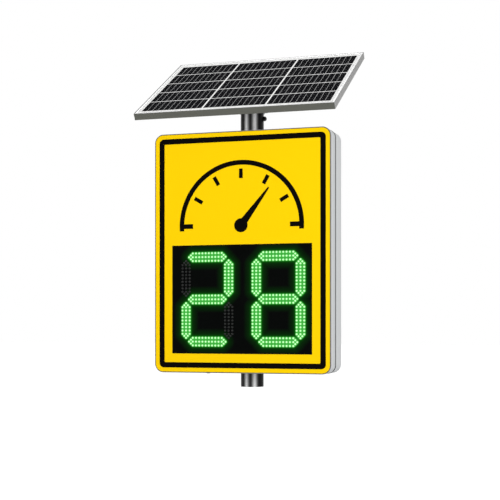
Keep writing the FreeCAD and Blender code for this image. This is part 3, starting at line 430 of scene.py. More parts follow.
@dataclass(frozen=True)
class SheetingFinish(Finish):
    """Reflective sheeting: a flat colour over a fine net of sealed cells.

    Attributes:
        cell_scale: the number of cells along a metre.
        net_width: the width of the net's lines, as a share of a cell.
        net_shade: the share of the darker colour in them.
        net_tone: that colour, as a share of the sheet's own.
        dark_rim_colour: the near-black colour where the edge attribute is 1: a narrow band round the front and
            the sheet's cut sides.
    """

    cell_scale: float = 260.0
    net_width: float = 0.12
    net_shade: float = 0.05
    net_tone: float = 0.6
    dark_rim_colour: Colour = (0.02, 0.017, 0.008)

    def pattern(self, board: SurfaceBoard) -> NodeSocket:
        """Draws the net of cells and the dark rim over the sheet's colour.

        Args:
            board: the material's nodes.

        Returns:
            The socket of the colour.
        """
        cells = board.add("ShaderNodeTexVoronoi", {"Vector": board.place, "Scale": self.cell_scale,
                                                   "Randomness": 0.15}, feature="DISTANCE_TO_EDGE")
        net = board.remap(cells.outputs[0], 0.0, self.net_width, self.net_shade, 0.0)
        darker = tuple(self.net_tone * channel for channel in self.colour)
        return board.mix(board.attribute("edge"), board.mix(net, self.colour, darker), self.dark_rim_colour)


@dataclass(frozen=True)
class CellFinish(Finish):
    """Solar cells: near black silicon with fine fingers across and small shifts from cell to cell.

    Attributes:
        finger_scale: the number of fingers along a metre of slope.
        finger_from: the height of the wave from which a finger shows, which sets its width.
        finger_colour: the colour of the printed fingers.
        finger_share: how much of it shows.
    """

    finger_scale: float = 420.0
    finger_from: float = 0.75
    finger_colour: Colour = (0.05, 0.05, 0.055)
    finger_share: float = 0.3

    def pattern(self, board: SurfaceBoard) -> NodeSocket:
        """Draws the fingers.

        Args:
            board: the material's nodes.

        Returns:
            The socket of the colour.
        """
        along = board.add("ShaderNodeMapping", {"Vector": board.place, "Rotation": (-TILT_AT_REST, 0.0, 0.0)})
        slope = board.add("ShaderNodeSeparateXYZ", {0: along.outputs[0]}).outputs[1]
        wave = board.math("SINE", board.math("MULTIPLY", slope, self.finger_scale * FULL_TURN))
        share = board.remap(wave, self.finger_from, 1.0, 0.0, self.finger_share)
        return board.mix(share, self.colour, self.finger_colour)


@dataclass(frozen=True)
class BoardFinish(Finish):
    """A circuit board: green resist with lighter copper runs under it.

    Attributes:
        run_colour: the colour over the copper.
        run_scale: the scale of the pattern of runs.
        run_gap: the width of the gaps between them.
    """

    run_colour: Colour = (0.03, 0.16, 0.06)
    run_scale: float = 90.0
    run_gap: float = 0.03

    def pattern(self, board: SurfaceBoard) -> NodeSocket:
        """Draws the copper runs.

        Args:
            board: the material's nodes.

        Returns:
            The socket of the colour.
        """
        runs = board.add("ShaderNodeTexBrick", {"Vector": board.place, "Scale": self.run_scale,
                                                "Mortar Size": self.run_gap})
        return board.mix(board.math("SUBTRACT", 1.0, runs.outputs["Fac"]), self.run_colour, self.colour)


@dataclass(frozen=True)
class GlowFinish(Finish):
    """A surface that shines by the amount in its glow attribute: a lit lamp's lens, or the mask film, whose glow
    is painted light of the lamps spilling onto it.

    Attributes:
        stops: the ramp from no glow to full glow.
    """

    stops: Ramp = ()

    def pattern(self, board: SurfaceBoard) -> Colour:
        """Feeds the glow through the ramp into the emission.

        Args:
            board: the material's nodes.

        Returns:
            The plain colour.
        """
        board.shade("Emission Color", board.ramp(board.attribute("glow"), self.stops))
        board.shade("Emission Strength", 1.0)
        return self.colour


@dataclass(frozen=True)
class RailPaintedShadeFinish(Finish):
    """Anodised rails with painted light and shade: each run of faces gets its own grey by its attribute, standing
    in for how light falls on it.

    Attributes:
        painted_shades: the ramp of painted light and shade over the values of RailPaintedShade.
    """

    painted_shades: Ramp = ()

    def pattern(self, board: SurfaceBoard) -> NodeSocket:
        """Picks the painted light or shade of each run of faces."""
        return board.ramp(board.attribute("painted_shade"), self.painted_shades)


@dataclass(frozen=True)
class PaintedHighlight:
    """A painted highlight along a round mast: a lighter band in the base colour that stands in for a softbox's
    reflection.

    Attributes:
        azimuth: where it runs, in degrees from straight ahead toward +X.
        spread: the angle at which it has faded to a third, in degrees.
        upper: how much it lightens the upper end of the mast.
        lower: how much it lightens the rest.
    """

    azimuth: float
    spread: float
    upper: float
    lower: float


@dataclass(frozen=True)
class MastFinish(Finish):
    """Dark polished paint with painted highlights: lighter bands in the base colour that stand in for
    reflections.

    Attributes:
        painted_highlights: the painted highlights.
        upper_from: the height from which the upper end counts, in metres.
        upper_fade: how far above that it counts in full.
    """

    painted_highlights: tuple[PaintedHighlight, ...] = ()
    upper_from: float = 0.5
    upper_fade: float = 0.05

    def pattern(self, board: SurfaceBoard) -> NodeSocket:
        """Adds the painted highlights to the colour.

        Args:
            board: the material's nodes.

        Returns:
            The socket of the colour.
        """
        x, y, z = board.add("ShaderNodeSeparateXYZ", {0: board.place}).outputs
        azimuth = board.math("ARCTAN2", x, board.math("MULTIPLY", y, -1.0))
        upper = board.remap(z, self.upper_from, self.upper_from + self.upper_fade, 0.0, 1.0)
        level = self.colour[0]
        for highlight in self.painted_highlights:
            away = board.math("SUBTRACT", azimuth, math.radians(highlight.azimuth))
            share = board.math("DIVIDE", away, math.radians(highlight.spread))
            fade = board.math("EXPONENT", board.math("MULTIPLY", board.math("MULTIPLY", share, share), -1.0))
            rise = board.math("MULTIPLY", upper, highlight.upper - highlight.lower)
            lift = board.math("MULTIPLY", fade, board.math("ADD", rise, highlight.lower))
            level = board.math("ADD", level, lift)
        return board.grey(level)


@dataclass(frozen=True)
class GlassFinish(Finish):
    """Clear solar glass: mostly see-through, a little less where it is dusty.

    Attributes:
        alpha: the most that isn't see-through.
        clean_share: the least, as a share of that.
        film_scale: the scale of the dusty patches.
        film_range: the values of their noise that count as clean and as dusty.
    """

    alpha: float = 0.05
    clean_share: float = 0.6
    film_scale: float = 14.0
    film_range: tuple[float, float] = (0.3, 0.7)

    def pattern(self, board: SurfaceBoard) -> Colour:
        """Makes the glass see-through.

        Args:
            board: the material's nodes.

        Returns:
            The plain colour.
        """
        film = board.add("ShaderNodeTexNoise", {"Vector": board.place, "Scale": self.film_scale, "Detail": 3.0})
        least = self.clean_share * self.alpha
        board.shade("Alpha", board.remap(film.outputs[0], *self.film_range, least, self.alpha))
        return self.colour


@cache
def material_of(finish: Finish) -> Material:
    """Gives the material of a finish, made at the first call."""
    return finish.build()


SHEETING = SheetingFinish("yellow_sheeting", (0.975, 0.63, 0.002), roughness=0.62, specular=0.015, mottle=0.012,
                          mottle_scale=3.0, bump=0.00001)
FILM = Finish("printed_black_film", (0.003, 0.0026, 0.0024), roughness=0.6, specular=0.005, mottle=0.2,
              mottle_scale=6.0)
RUBBER = Finish("seam_rubber", (0.03, 0.03, 0.032), roughness=0.9, specular=0.01, mottle=0.25, mottle_scale=40.0)
GASKET = Finish("gasket_foam", (0.24, 0.24, 0.24), roughness=0.9, specular=0.01, mottle=0.25, mottle_scale=40.0)
HOUSING = Finish("housing_powder_coat", (0.705, 0.725, 0.735), roughness=0.48, specular=0.3, mottle=0.02,
                 mottle_scale=4.0, grain=Grain.ORANGE_PEEL, bump=0.00006, dust=0.05)
# The mask film's emission is a painted glow: green light round the lit lamps that stands in for their light on
# the mask, which is no lamp.
MASK_PAINTED_GLOW = GlowFinish("display_mask_black_painted_glow", (0.0022, 0.0026, 0.0024), roughness=0.9, specular=0.01, mottle=0.3,
                  mottle_scale=30.0, stops=((0.0, (0.0, 0.0, 0.0)), (0.2, (0.0, 0.02, 0.0)),
                                            (0.45, (0.0, 0.055, 0.0)), (0.62, (0.002, 0.11, 0.002)),
                                            (0.82, (0.04, 0.36, 0.04)), (1.0, (0.07, 0.5, 0.07))))
LENS_LIT = GlowFinish("lamp_lens_lit", (0.02, 0.1, 0.02), roughness=0.3, specular=0.1, mottle=0.1,
                      mottle_scale=60.0, bump=0.0,
                      stops=((0.0, (0.1, 0.7, 0.1)), (0.3, (0.45, 1.0, 0.4)), (0.7, (0.8, 1.0, 0.72)),
                             (1.0, (0.9, 1.0, 0.85))))
LENS_DARK = Finish("lamp_lens_dark", (0.019, 0.02, 0.019), roughness=0.3, specular=0.08, mottle=0.3,
                   mottle_scale=70.0, bump=0.0)
CIRCUIT = BoardFinish("circuit_resist", (0.008, 0.075, 0.028), roughness=0.4, mottle=0.1, mottle_scale=20.0)
NYLON = Finish("nylon", (0.68, 0.66, 0.6), roughness=0.55, mottle=0.05, mottle_scale=40.0)
SENSOR = Finish("sensor_radome", (0.62, 0.62, 0.58), roughness=0.5, mottle=0.05, mottle_scale=30.0)
SHEET_METAL = Finish("inner_sheet_metal", (0.6, 0.6, 0.61), roughness=0.42, metallic=1.0, mottle=0.12,
                     mottle_scale=14.0, grain=Grain.ALONG_X, bump=0.00001)
BATTERY_CASE = Finish("battery_moulding", (0.02, 0.022, 0.026), roughness=0.5, mottle=0.2, mottle_scale=25.0)
CONTROLLER_CASE = Finish("controller_moulding", (0.035, 0.05, 0.085), roughness=0.45, mottle=0.15,
                         mottle_scale=25.0)
MOULDING = Finish("black_moulding", (0.013, 0.013, 0.014), roughness=0.5, specular=0.35, mottle=0.2,
                  mottle_scale=30.0, dust=0.12)
CASTING = Finish("cast_aluminium", (0.52, 0.53, 0.54), roughness=0.52, metallic=0.85, mottle=0.14,
                 mottle_scale=22.0, grain=Grain.CAST, bump=0.00012, dust=0.2)
STAINLESS = Finish("stainless_steel", (0.56, 0.56, 0.555), roughness=0.3, metallic=1.0, mottle=0.08,
                   mottle_scale=18.0, grain=Grain.ALONG_X, bump=0.00002)
ZINC = Finish("zinc_plated_steel", (0.5, 0.51, 0.53), roughness=0.36, metallic=1.0, mottle=0.16,
              mottle_scale=60.0, bump=0.00002)
BRACKET = Finish("galvanised_steel", (0.3, 0.305, 0.31), roughness=0.46, metallic=0.9, mottle=0.3,
                 mottle_scale=55.0, grain=Grain.CAST, bump=0.00004, dust=0.15)
# The mast's base colour carries painted highlights: two lighter bands by azimuth that stand in for softbox
# reflections, stronger on the upper end.
MAST_PAINTED_HIGHLIGHTS = MastFinish("mast_paint_with_painted_highlights", (0.01, 0.01, 0.01), roughness=0.3, specular=0.05, mottle=0.1,
                  mottle_scale=14.0, grain=Grain.ALONG_Z, bump=0.000004,
                  painted_highlights=(PaintedHighlight(-13.0, 9.5, 0.97, 0.85), PaintedHighlight(30.0, 10.5, 0.98, 0.92)))
BLACK_STEEL = Finish("black_oxide_steel", (0.03, 0.03, 0.031), roughness=0.35, metallic=0.9, mottle=0.2,
                     mottle_scale=80.0, bump=0.00001)
FRAME_METAL = Finish("anodised_aluminium", (0.42, 0.42, 0.4), roughness=0.42, metallic=0.25, specular=0.3,
                     mottle=0.06, mottle_scale=16.0, grain=Grain.ALONG_X, bump=0.00001, dust=0.06)
# Painted light and shade on the panel rails: one aluminium, shaded dark on the front faces that look down, mid
# grey on the side-lit ends, near white on the lit lips and on their inner faces, which really lie in shade; dark
# grey on the rounded edges and on a strip along the lips' outer edge.
RAIL_METAL_PAINTED_SHADE = RailPaintedShadeFinish("rail_aluminium_painted_shade", (0.5, 0.5, 0.5), roughness=0.45, metallic=0.1, specular=0.2,
                        mottle=0.04, mottle_scale=16.0, grain=Grain.ALONG_X, bump=0.00001,
                        painted_shades=((RailPaintedShade.FRONT.value, (0.105, 0.108, 0.094)),
                               (RailPaintedShade.DARK_EDGE.value, (0.15, 0.15, 0.15)),
                               (RailPaintedShade.END.value, (0.345, 0.345, 0.34)),
                               (RailPaintedShade.LIP.value, (0.95, 0.95, 0.95))))
GLASS = GlassFinish("solar_glass", (0.1, 0.1, 0.1), roughness=0.2, specular=0.05, bump=0.0)
SILICON = CellFinish("solar_silicon", (0.0032, 0.0032, 0.0045), roughness=0.5, specular=0.0, mottle=0.35,
                     mottle_scale=40.0, bump=0.0)
CARRIER = Finish("grey_cell_foil", (0.46, 0.46, 0.46), roughness=0.6, specular=0.0, mottle=0.2, mottle_scale=60.0)
BACK_SHEET = Finish("white_back_sheet", (0.9, 0.9, 0.89), roughness=0.6, specular=0.2, mottle=0.02,
                    mottle_scale=10.0, dust=0.03)


# Shaping

def merged_copy(name: str) -> BMesh:
    """Copies a CAD node's mesh with its loose triangles joined.

    Args:
        name: the CAD node.

    Returns:
        The joined mesh.
    """
    bm = bmesh.new()
    bm.from_mesh(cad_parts[name].data)
    bmesh.ops.remove_doubles(bm, verts=bm.verts, dist=MERGE_DISTANCE)
    return bm


def round_edges(bm: BMesh, edges: Sequence[BMEdge], width: float, segments: int) -> None:
    """Rounds edges of a mesh.

    Args:
        bm: the mesh.
        edges: the edges.
        width: the width of the rounding, in metres.
        segments: the facets of the rounding.
    """
    bmesh.ops.bevel(bm, geom=edges, offset=width, offset_type="OFFSET", affect="EDGES", segments=segments,
                    profile=0.5, material=-1, clamp_overlap=True)


def soft_copy(name: str, width: float, segments: int = 2) -> BMesh:
    """Copies a CAD node and rounds its sharp edges.

    Args:
        name: the CAD node.
        width: the width of the rounding, in metres.
        segments: the facets of the rounding.

    Returns:
        The rounded mesh.
    """
    bm = merged_copy(name)
    bmesh.ops.dissolve_limit(bm, angle_limit=FLAT_TURN, use_dissolve_boundaries=False, verts=bm.verts,
                             edges=bm.edges, delimit={"NORMAL"})
    sharp = [edge for edge in bm.edges if edge.is_manifold and edge.calc_face_angle(0.0) > SHARP_TURN]
    round_edges(bm, sharp, width, segments)
    return bm


def islands(name: str) -> list[list[Vector]]:
    """Lists the corner points of each separate solid in a CAD node.

    Args:
        name: the CAD node.

    Returns:
        One list of points for each solid, in the mesh's own order.
    """
    bm = merged_copy(name)
    found: list[list[Vector]] = []
    seen: set[int] = set()
    bm.verts.ensure_lookup_table()
    for start in bm.verts:
        if start.index in seen:
            continue
        seen.add(start.index)
        stack = [start]
        points = []
        while stack:
            vert = stack.pop()
            points.append(vert.co.copy())
            for edge in vert.link_edges:
                other = edge.other_vert(vert)
                if other.index not in seen:
                    seen.add(other.index)
                    stack.append(other)
        found.append(points)
    bm.free()
    return found


def frame_matrix(origin: Vector, outward: Vector, side: Vector) -> Matrix:
    """Gives the placement whose Z axis is one direction and whose X axis is near another.

    Args:
        origin: where the placement's origin lies.
        outward: its Z axis.
        side: the direction that its X axis follows.

    Returns:
        The placement.
    """
    z = outward.normalized()
    x = (side - z * side.dot(z)).normalized()
    turn = Matrix((x, z.cross(x), z)).transposed().to_4x4()
    return Matrix.Translation(origin) @ turn


def added(bm: BMesh, before: set[BMVert]) -> list[BMVert]:
    """Lists the vertices that a mesh has gained over an earlier set of them."""
    return [vert for vert in bm.verts if vert not in before]


def lathe(bm: BMesh, profile: Profile, steps: int, place: Matrix) -> None:
    """Spins a profile round the Z axis of a placement.

    Args:
        bm: the mesh that gets the new shape.
        profile: radius and height of each point, from one end to the other.
        steps: the facets of a full turn.
        place: where the shape goes.
    """
    before = set(bm.verts)
    chain = [bm.verts.new((radius, 0.0, height)) for radius, height in profile]
    edges = [bm.edges.new(pair) for pair in zip(chain, chain[1:])]
    bmesh.ops.spin(bm, geom=chain + edges, cent=(0, 0, 0), axis=(0, 0, 1), angle=FULL_TURN, steps=steps,
                   use_merge=True)
    bmesh.ops.remove_doubles(bm, verts=added(bm, before), dist=MERGE_DISTANCE)
    bmesh.ops.transform(bm, matrix=place, verts=added(bm, before))


def block(bm: BMesh, low: Vector, high: Vector, rounding: float, segments: int, place: Matrix) -> None:
    """Adds a block with rounded edges.

    Args:
        bm: the mesh that gets the block.
        low: its lowest corner.
        high: its highest corner.
        rounding: the width of the rounding.
        segments: the facets of the rounding.
        place: where the block goes.
    """
    before = set(bm.verts)
    centre = Matrix.Translation((low + high) / 2) @ Matrix.Diagonal((*(high - low), 1.0))
    made = bmesh.ops.create_cube(bm, size=1.0, matrix=centre)["verts"]
    round_edges(bm, list({edge for vert in made for edge in vert.link_edges}), rounding, segments)
    bmesh.ops.transform(bm, matrix=place, verts=added(bm, before))


def hex_prism(bm: BMesh, radius: float, low: float, high: float, rounding: float, place: Matrix) -> None:
    """Adds an upright hexagonal prism with rounded edges.

    Args:
        bm: the mesh that gets the prism.
        radius: the distance of its corners from its axis.
        low: its lower end.
        high: its upper end.
        rounding: the width of the rounding.
        place: where the prism goes.
    """
    before = set(bm.verts)
    bmesh.ops.create_cone(bm, cap_ends=True, cap_tris=False, segments=6, radius1=radius, radius2=radius,
                          depth=high - low, matrix=Matrix.Translation((0, 0, (low + high) / 2)))
    made = added(bm, before)
    turn = math.atan2(made[0].co.y, made[0].co.x)
    bmesh.ops.rotate(bm, cent=(0, 0, 0), matrix=Matrix.Rotation(-turn, 3, "Z"), verts=made)
    round_edges(bm, list({edge for vert in made for edge in vert.link_edges}), rounding, 2)
    bmesh.ops.transform(bm, matrix=place, verts=added(bm, before))


# Pieces

def dress(name: str, finish: Finish) -> None:
    """Gives a CAD node its finish.

    Args:
        name: the CAD node.
        finish: what it is made of.
    """
    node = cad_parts[name]
    node.data.materials.clear()
    node.data.materials.append(material_of(finish))
    LOG.info("dressed %s in %s", name, finish.name)


def finish_piece(name: str, bm: BMesh, finish: Finish, body: str, stands_for: Sequence[str] = (),
                 smooth: float = 32.0, solid: bool = True) -> None:
    """Makes a finished piece of a mesh and hands it to its body.

    Args:
        name: the piece's name.
        bm: its shape, in the row frame.
        finish: what it is made of.
        body: the CAD body that it moves with.
        stands_for: the CAD nodes that it replaces.
        smooth: faces that meet at fewer degrees than this are shaded as one.
        solid: whether the shape is closed, so that its faces can be turned outwards.
    """
    if solid:
        bmesh.ops.recalc_face_normals(bm, faces=bm.faces)
    mesh = bpy.data.meshes.new(name)
    bm.to_mesh(mesh)
    bm.free()
    mesh.shade_smooth()
    mesh.set_sharp_from_angle(angle=math.radians(smooth))
    mesh.materials.append(material_of(finish))
    piece = bpy.data.objects.new(name, mesh)
    bpy.context.scene.collection.objects.link(piece)
    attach(piece, body)
    if stands_for:
        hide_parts(*stands_for)
    LOG.info("built %s: %d faces", name, len(mesh.polygons))


@dataclass(frozen=True)
class Measured:
    """The sizes of one hex fastener, read from its CAD solid.

    Attributes:
        seat: the point of the axis where the head or nut stands on its seat.
        outward: the direction from the seat to the top of the head or nut.
        corner: the direction of one corner of the hexagon.
        corner_radius: the distance of the corners from the axis.
        head: the height of the head or nut.
        shank_radius: the radius of the shank or of the nut's hole.
        shank: the length of the shank beyond the seat, 0 for a nut.
    """

    seat: Vector
    outward: Vector
    corner: Vector
    corner_radius: float
    head: float
    shank_radius: float
    shank: float

    @classmethod
    def read(cls, points: Sequence[Vector], axis: Vector) -> "Measured":
        """Measures a fastener from the points of its solid.

        Args:
            points: the corner points of the solid.
            axis: the direction of its axis, to the side that a nut's free face looks to.

        Returns:
            The measures.
        """
        axis = axis.normalized()
        side = axis.orthogonal().normalized()
        across = axis.cross(side)
        spans = [[point.dot(way) for point in points] for way in (side, across)]
        middle = sum((way * (min(span) + max(span)) / 2 for way, span in zip((side, across), spans)), Vector())
        radial = [point - axis * point.dot(axis) - middle for point in points]
        corner_radius = max(arm.length for arm in radial)
        heights = [point.dot(axis) for point in points]
        head = [height for height, arm in zip(heights, radial) if arm.length > HEAD_SHARE * corner_radius]
        inner = [arm.length for arm in radial if arm.length < SHANK_SHARE * corner_radius]
        corner = max(radial, key=lambda arm: arm.length)
        low, high = min(head), max(head)
        below, above = low - min(heights), max(heights) - high
        points_up = below > above or max(below, above) <= MERGE_DISTANCE
        seat = low if points_up else high
        return cls(middle + axis * seat, axis if points_up else -axis, corner, corner_radius, high - low,
                   max(inner), max(below, above))


@dataclass(frozen=True)
class HexFastener:
    """The detailed form of hex bolts and nuts.

    Attributes:
        washer_share: the height of the washer face as a share of the head.
        washer_radius: its radius as a share of the corner radius.
        rounding: the rounding of the hexagon as a share of the corner radius.
        tip_share: the chamfer of the shank's tip as a share of its radius.
        steps: the facets round the shank.
    """

    washer_share: float = 0.14
    washer_radius: float = 0.9
    rounding: float = 0.09
    tip_share: float = 0.12
    steps: int = 20

    def add(self, bm: BMesh, size: Measured) -> None:
        """Adds a bolt, or a nut where there is no shank.

        Args:
            bm: the mesh that gets the fastener.
            size: its measures.
        """
        place = frame_matrix(size.seat, size.outward, size.corner)
        washer = self.washer_share * size.head
        rim = self.washer_radius * size.corner_radius
        lathe(bm, [(0.0, 0.0), (rim, 0.0), (rim, washer), (0.0, washer)], self.steps, place)
        hex_prism(bm, size.corner_radius, washer, size.head, self.rounding * size.corner_radius, place)
        if size.shank:
            radius = size.shank_radius
            tip = self.tip_share * radius
            lathe(bm, [(0.0, washer / 2), (radius, washer / 2), (radius, tip - size.shank),
                       (radius - tip, -size.shank), (0.0, -size.shank)], self.steps, place)


def reach(points: Sequence[Vector], way: Vector) -> tuple[float, float]:
    """Gives the least and the most that points reach along a direction."""
    along = [point.dot(way) for point in points]
    return min(along), max(along)


def fasteners(name: str, axes: Sequence[Vector], finish: Finish, body: str) -> None:
    """Replaces a node of bolts or nuts by their detailed form.

    Args:
        name: the CAD node.
        axes: the directions that their axes may have. Each takes the one along which it is longest.
        finish: what they are made of.
        body: the CAD body that they move with.
    """
    bm = bmesh.new()
    for points in islands(name):
        spans = [(*reach(points, way), way) for way in axes]
        axis = max(spans, key=lambda span: span[1] - span[0])[2]
        HexFastener().add(bm, Measured.read(points, axis))
    finish_piece(f"{name}_detailed", bm, finish, body, (name,))


def softened(name: str, finish: Finish, body: str, width: float, segments: int = 2) -> None:
    """Replaces a CAD node by a copy with rounded edges.

    Args:
        name: the CAD node.
        finish: what it is made of.
        body: the CAD body that it moves with.
        width: the width of the rounding.
        segments: the facets of the rounding.
    """
    finish_piece(f"{name}_rounded", soft_copy(name, width, segments), finish, body, (name,), COPY_SMOOTH,
                 solid=False)


# Sub-assemblies

@dataclass
class SignHead:
    """The face, its graphics and the two shells of the housing.

    Attributes:
        sheet_edge: the rounding of the face sheet's edge.
        dark_rim_width: the width of the dark band round the edge of its front.
        front_facing: how closely a face of that front looks along -Y, where 1 is straight.
        shell_edge: the rounding of the shells' edges.
        seal_edge: the rounding of the seals.
        seam_setback: how far the seam's seal lies in from the shells' sides.
        lip_reach: how far the seam's lips lie over each shell.
        lip_stand: how far they stand out of its side.
    """

    sheet_edge: float = 0.35 * MM
    dark_rim_width: float = 0.8 * MM
    front_facing: float = 0.99
    shell_edge: float = 0.8 * MM
    seal_edge: float = 0.3 * MM
    seam_setback: float = 0.4 * MM
    lip_reach: float = 1.6 * MM
    lip_stand: float = 0.25 * MM

    def build(self) -> None:
        """Builds the head's outside."""
        self.sheet()
        for name in ("border_stripe", "dial_symbol"):
            dress(name, FILM)
        softened("face_gasket", GASKET, BODY_HEAD, self.seal_edge)
        self.seam()
        for name in ("front_shell", "rear_shell"):
            softened(name, HOUSING, BODY_HEAD, self.shell_edge)
        fasteners("shell_screws", (Y_AXIS,), STAINLESS, BODY_HEAD)
        dress("shell_nuts", ZINC)
        dress("screw_sleeves", SHEET_METAL)

    def sheet(self) -> None:
        """Builds the face sheet, near black on its cut sides and in a narrow band round the edge of its front."""
        bm = soft_copy("sign_face", self.sheet_edge)
        bm.normal_update()
        edge = bm.faces.layers.float.new("edge")
        front = [face for face in bm.faces if face.normal.y < -self.front_facing]
        for face in bm.faces:
            face[edge] = 1.0
        for face in front:
            face[edge] = 0.0
        ring = bmesh.ops.inset_region(bm, faces=front, thickness=self.dark_rim_width, use_boundary=True,
                                      use_even_offset=True)["faces"]
        for face in ring:
            face[edge] = 1.0
        finish_piece("sign_face_rounded", bm, SHEETING, BODY_HEAD, ("sign_face",), COPY_SMOOTH,
                     solid=False)

    def seam(self) -> None:
        """Builds the seal between the shells with the thin lips that lie over their edges."""
        bm = soft_copy("seam_seal", self.seal_edge)
        low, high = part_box("seam_seal")
        centre, size = (low + high) / 2, high - low
        stand = 2 * (self.lip_stand + self.seam_setback)
        growth = ((size.x + stand) / size.x, (size.y + 2 * self.lip_reach) / size.y, (size.z + stand) / size.z)
        bmesh.ops.scale(bm, vec=growth, space=Matrix.Translation(-centre), verts=bm.verts)
        finish_piece("seam_seal_lipped", bm, RUBBER, BODY_HEAD, ("seam_seal",), COPY_SMOOTH,
                     solid=False)


@dataclass
class WallFittings:
    """The cable gland in the housing's back and the breather under it.

    Attributes:
        back: where the housing's back lies along Y.
        bottom: the height of its underside.
        bore: the radius of the clear way through the gland.
        cap: the radius of its cap.
        collar: the height of its hex collars.
        shoulder: the cap's chamfer at the collar: its radius as a share of the cap's, and its height.
        dome: the cap's top: radius as a share of the cap's, and height from the top.
        gland_steps: the facets round the gland.
        hole_steps: the facets round the hole in its hex collars.
        gland_ribs: the number of ribs round its cap.
        gland_rib: half the width of one, and how far it stands out.
        vent_collar: the height of the breather's hex collar.
        collar_edge: the rounding of that collar.
        knob: the radius of its knob.
        knob_chamfer: the chamfer of the knob.
        knob_steps: the facets round it.
        knob_ribs: the number of ribs round it.
        knob_rib: half the width of one, and how far it stands out.
        overlap: how far the knob reaches into the collar.
        root: how far the breather's stem reaches into the collar.
        rib_sink: how far a rib reaches into what it stands on.
        rib_edge: the rounding of a rib.
    """

    back: float = -44.05 * MM
    bottom: float = 51 * MM
    bore: float = 4.5 * MM
    cap: float = 10 * MM
    collar: float = 5 * MM
    shoulder: tuple[float, float] = (0.96, 1.5 * MM)
    dome: Profile = ((1.0, -5 * MM), (0.9, -2 * MM), (0.72, -0.5 * MM), (0.6, 0.0))
    gland_steps: int = 32
    hole_steps: int = 24
    gland_ribs: int = 12
    gland_rib: tuple[float, float] = (0.8 * MM, 0.5 * MM)
    vent_collar: float = 3 * MM
    collar_edge: float = 0.5 * MM
    knob: float = 6 * MM
    knob_chamfer: float = 1 * MM
    knob_steps: int = 24
    knob_ribs: int = 6
    knob_rib: tuple[float, float] = (0.9 * MM, 0.6 * MM)
    overlap: float = 0.5 * MM
    root: float = 0.2 * MM
    rib_sink: float = 0.6 * MM
    rib_edge: float = 0.3 * MM

    def build(self) -> None:
        """Builds both fittings."""
        self.gland()
        self.vent()

    def gland(self) -> None:
        """Builds the cable gland: two hex collars, a ribbed cap with a domed end and the clear way through it."""
        low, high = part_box("cable_gland")
        middle = (low + high) / 2
        place = frame_matrix(Vector((middle.x, self.back, middle.z)), Y_AXIS, X_AXIS)
        inner, top = low.y - self.back, high.y - self.back
        foot_share, foot_height = self.shoulder
        shoulder = self.collar + foot_height
        bm = bmesh.new()
        for start in (0.0, inner):
            self.tube(bm, start, start + self.collar, place)
            self.hex_ring(bm, (high.x - low.x) / 2, start, start + self.collar, place)
        profile = [(self.bore, self.collar), (self.cap * foot_share, self.collar), (self.cap, shoulder)]
        profile += [(self.cap * share, top + height) for share, height in self.dome]
        lathe(bm, profile + [(self.bore, top), (self.bore, self.collar)], self.gland_steps, place)
        self.tube(bm, inner + self.collar, 0.0, place)
        half, stand = self.gland_rib
        self.ribs(bm, self.gland_ribs, Vector((self.cap - self.rib_sink, -half, shoulder)),
                  Vector((self.cap + stand, half, top + self.dome[0][1])), place)
        finish_piece("cable_gland_moulded", bm, MOULDING, BODY_HEAD, ("cable_gland",))

    def tube(self, bm: BMesh, low: float, high: float, place: Matrix) -> None:
        """Adds a round length of the gland with its clear way."""
        lathe(bm, [(self.bore, low), (self.cap, low), (self.cap, high), (self.bore, high), (self.bore, low)],
              self.gland_steps, place)

    def ribs(self, bm: BMesh, count: int, low: Vector, high: Vector, place: Matrix) -> None:
        """Adds ribs at even turns.

        Args:
            bm: the mesh that gets the ribs.
            count: how many there are.
            low: the lowest corner of the first rib.
            high: its highest corner.
            place: the placement whose Z axis they stand round.
        """
        for rib in range(count):
            block(bm, low, high, self.rib_edge, 1, place @ Matrix.Rotation(FULL_TURN * rib / count, 4, "Z"))

    def hex_ring(self, bm: BMesh, radius: float, low: float, high: float, place: Matrix) -> None:
        """Adds a hexagonal collar with the clear way through it.

        Args:
            bm: the mesh that gets the collar.
            radius: the distance of its corners from its axis.
            low: its lower end.
            high: its upper end.
            place: where the collar goes.
        """
        before = set(bm.verts)
        hole = bmesh.ops.create_circle(bm, cap_ends=False, radius=self.bore, segments=self.hole_steps)["verts"]
        rim = bmesh.ops.create_circle(bm, cap_ends=False, radius=radius, segments=6)["verts"]
        loops = list({edge for vert in hole + rim for edge in vert.link_edges})
        ring = bmesh.ops.triangle_fill(bm, use_beauty=True, edges=loops)["geom"]
        faces = [item for item in ring if isinstance(item, BMFace)]
        grown = bmesh.ops.extrude_face_region(bm, geom=faces, use_keep_orig=True)["geom"]
        bmesh.ops.translate(bm, vec=(0, 0, high - low),
                            verts=[item for item in grown if isinstance(item, BMVert)])
        bmesh.ops.transform(bm, matrix=place @ Matrix.Translation((0, 0, low)), verts=added(bm, before))

    def vent(self) -> None:
        """Builds the breather: a hex collar and a ribbed knob under the housing."""
        low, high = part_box("vent_plug")
        middle = (low + high) / 2
        place = frame_matrix(Vector((middle.x, middle.y, self.bottom)), -Z_AXIS, X_AXIS)
        collar, knob, tip, stem = self.vent_collar, self.knob, self.bottom - low.z, self.bottom - high.z
        shoulder = tip - self.knob_chamfer
        bm = bmesh.new()
        hex_prism(bm, (high.x - low.x) / 2, 0.0, collar, self.collar_edge, place)
        lathe(bm, [(0.0, collar - self.overlap), (knob, collar - self.overlap), (knob, shoulder),
                   (knob - self.knob_chamfer, tip), (0.0, tip)], self.knob_steps, place)
        lathe(bm, [(0.0, stem), (knob, stem), (knob, self.root), (0.0, self.root)], self.knob_steps, place)
        half, stand = self.knob_rib
        self.ribs(bm, self.knob_ribs, Vector((knob - self.rib_sink, -half, collar)),
                  Vector((knob + stand, half, shoulder)), place)
        finish_piece("vent_plug_moulded", bm, MOULDING, BODY_HEAD, ("vent_plug",))


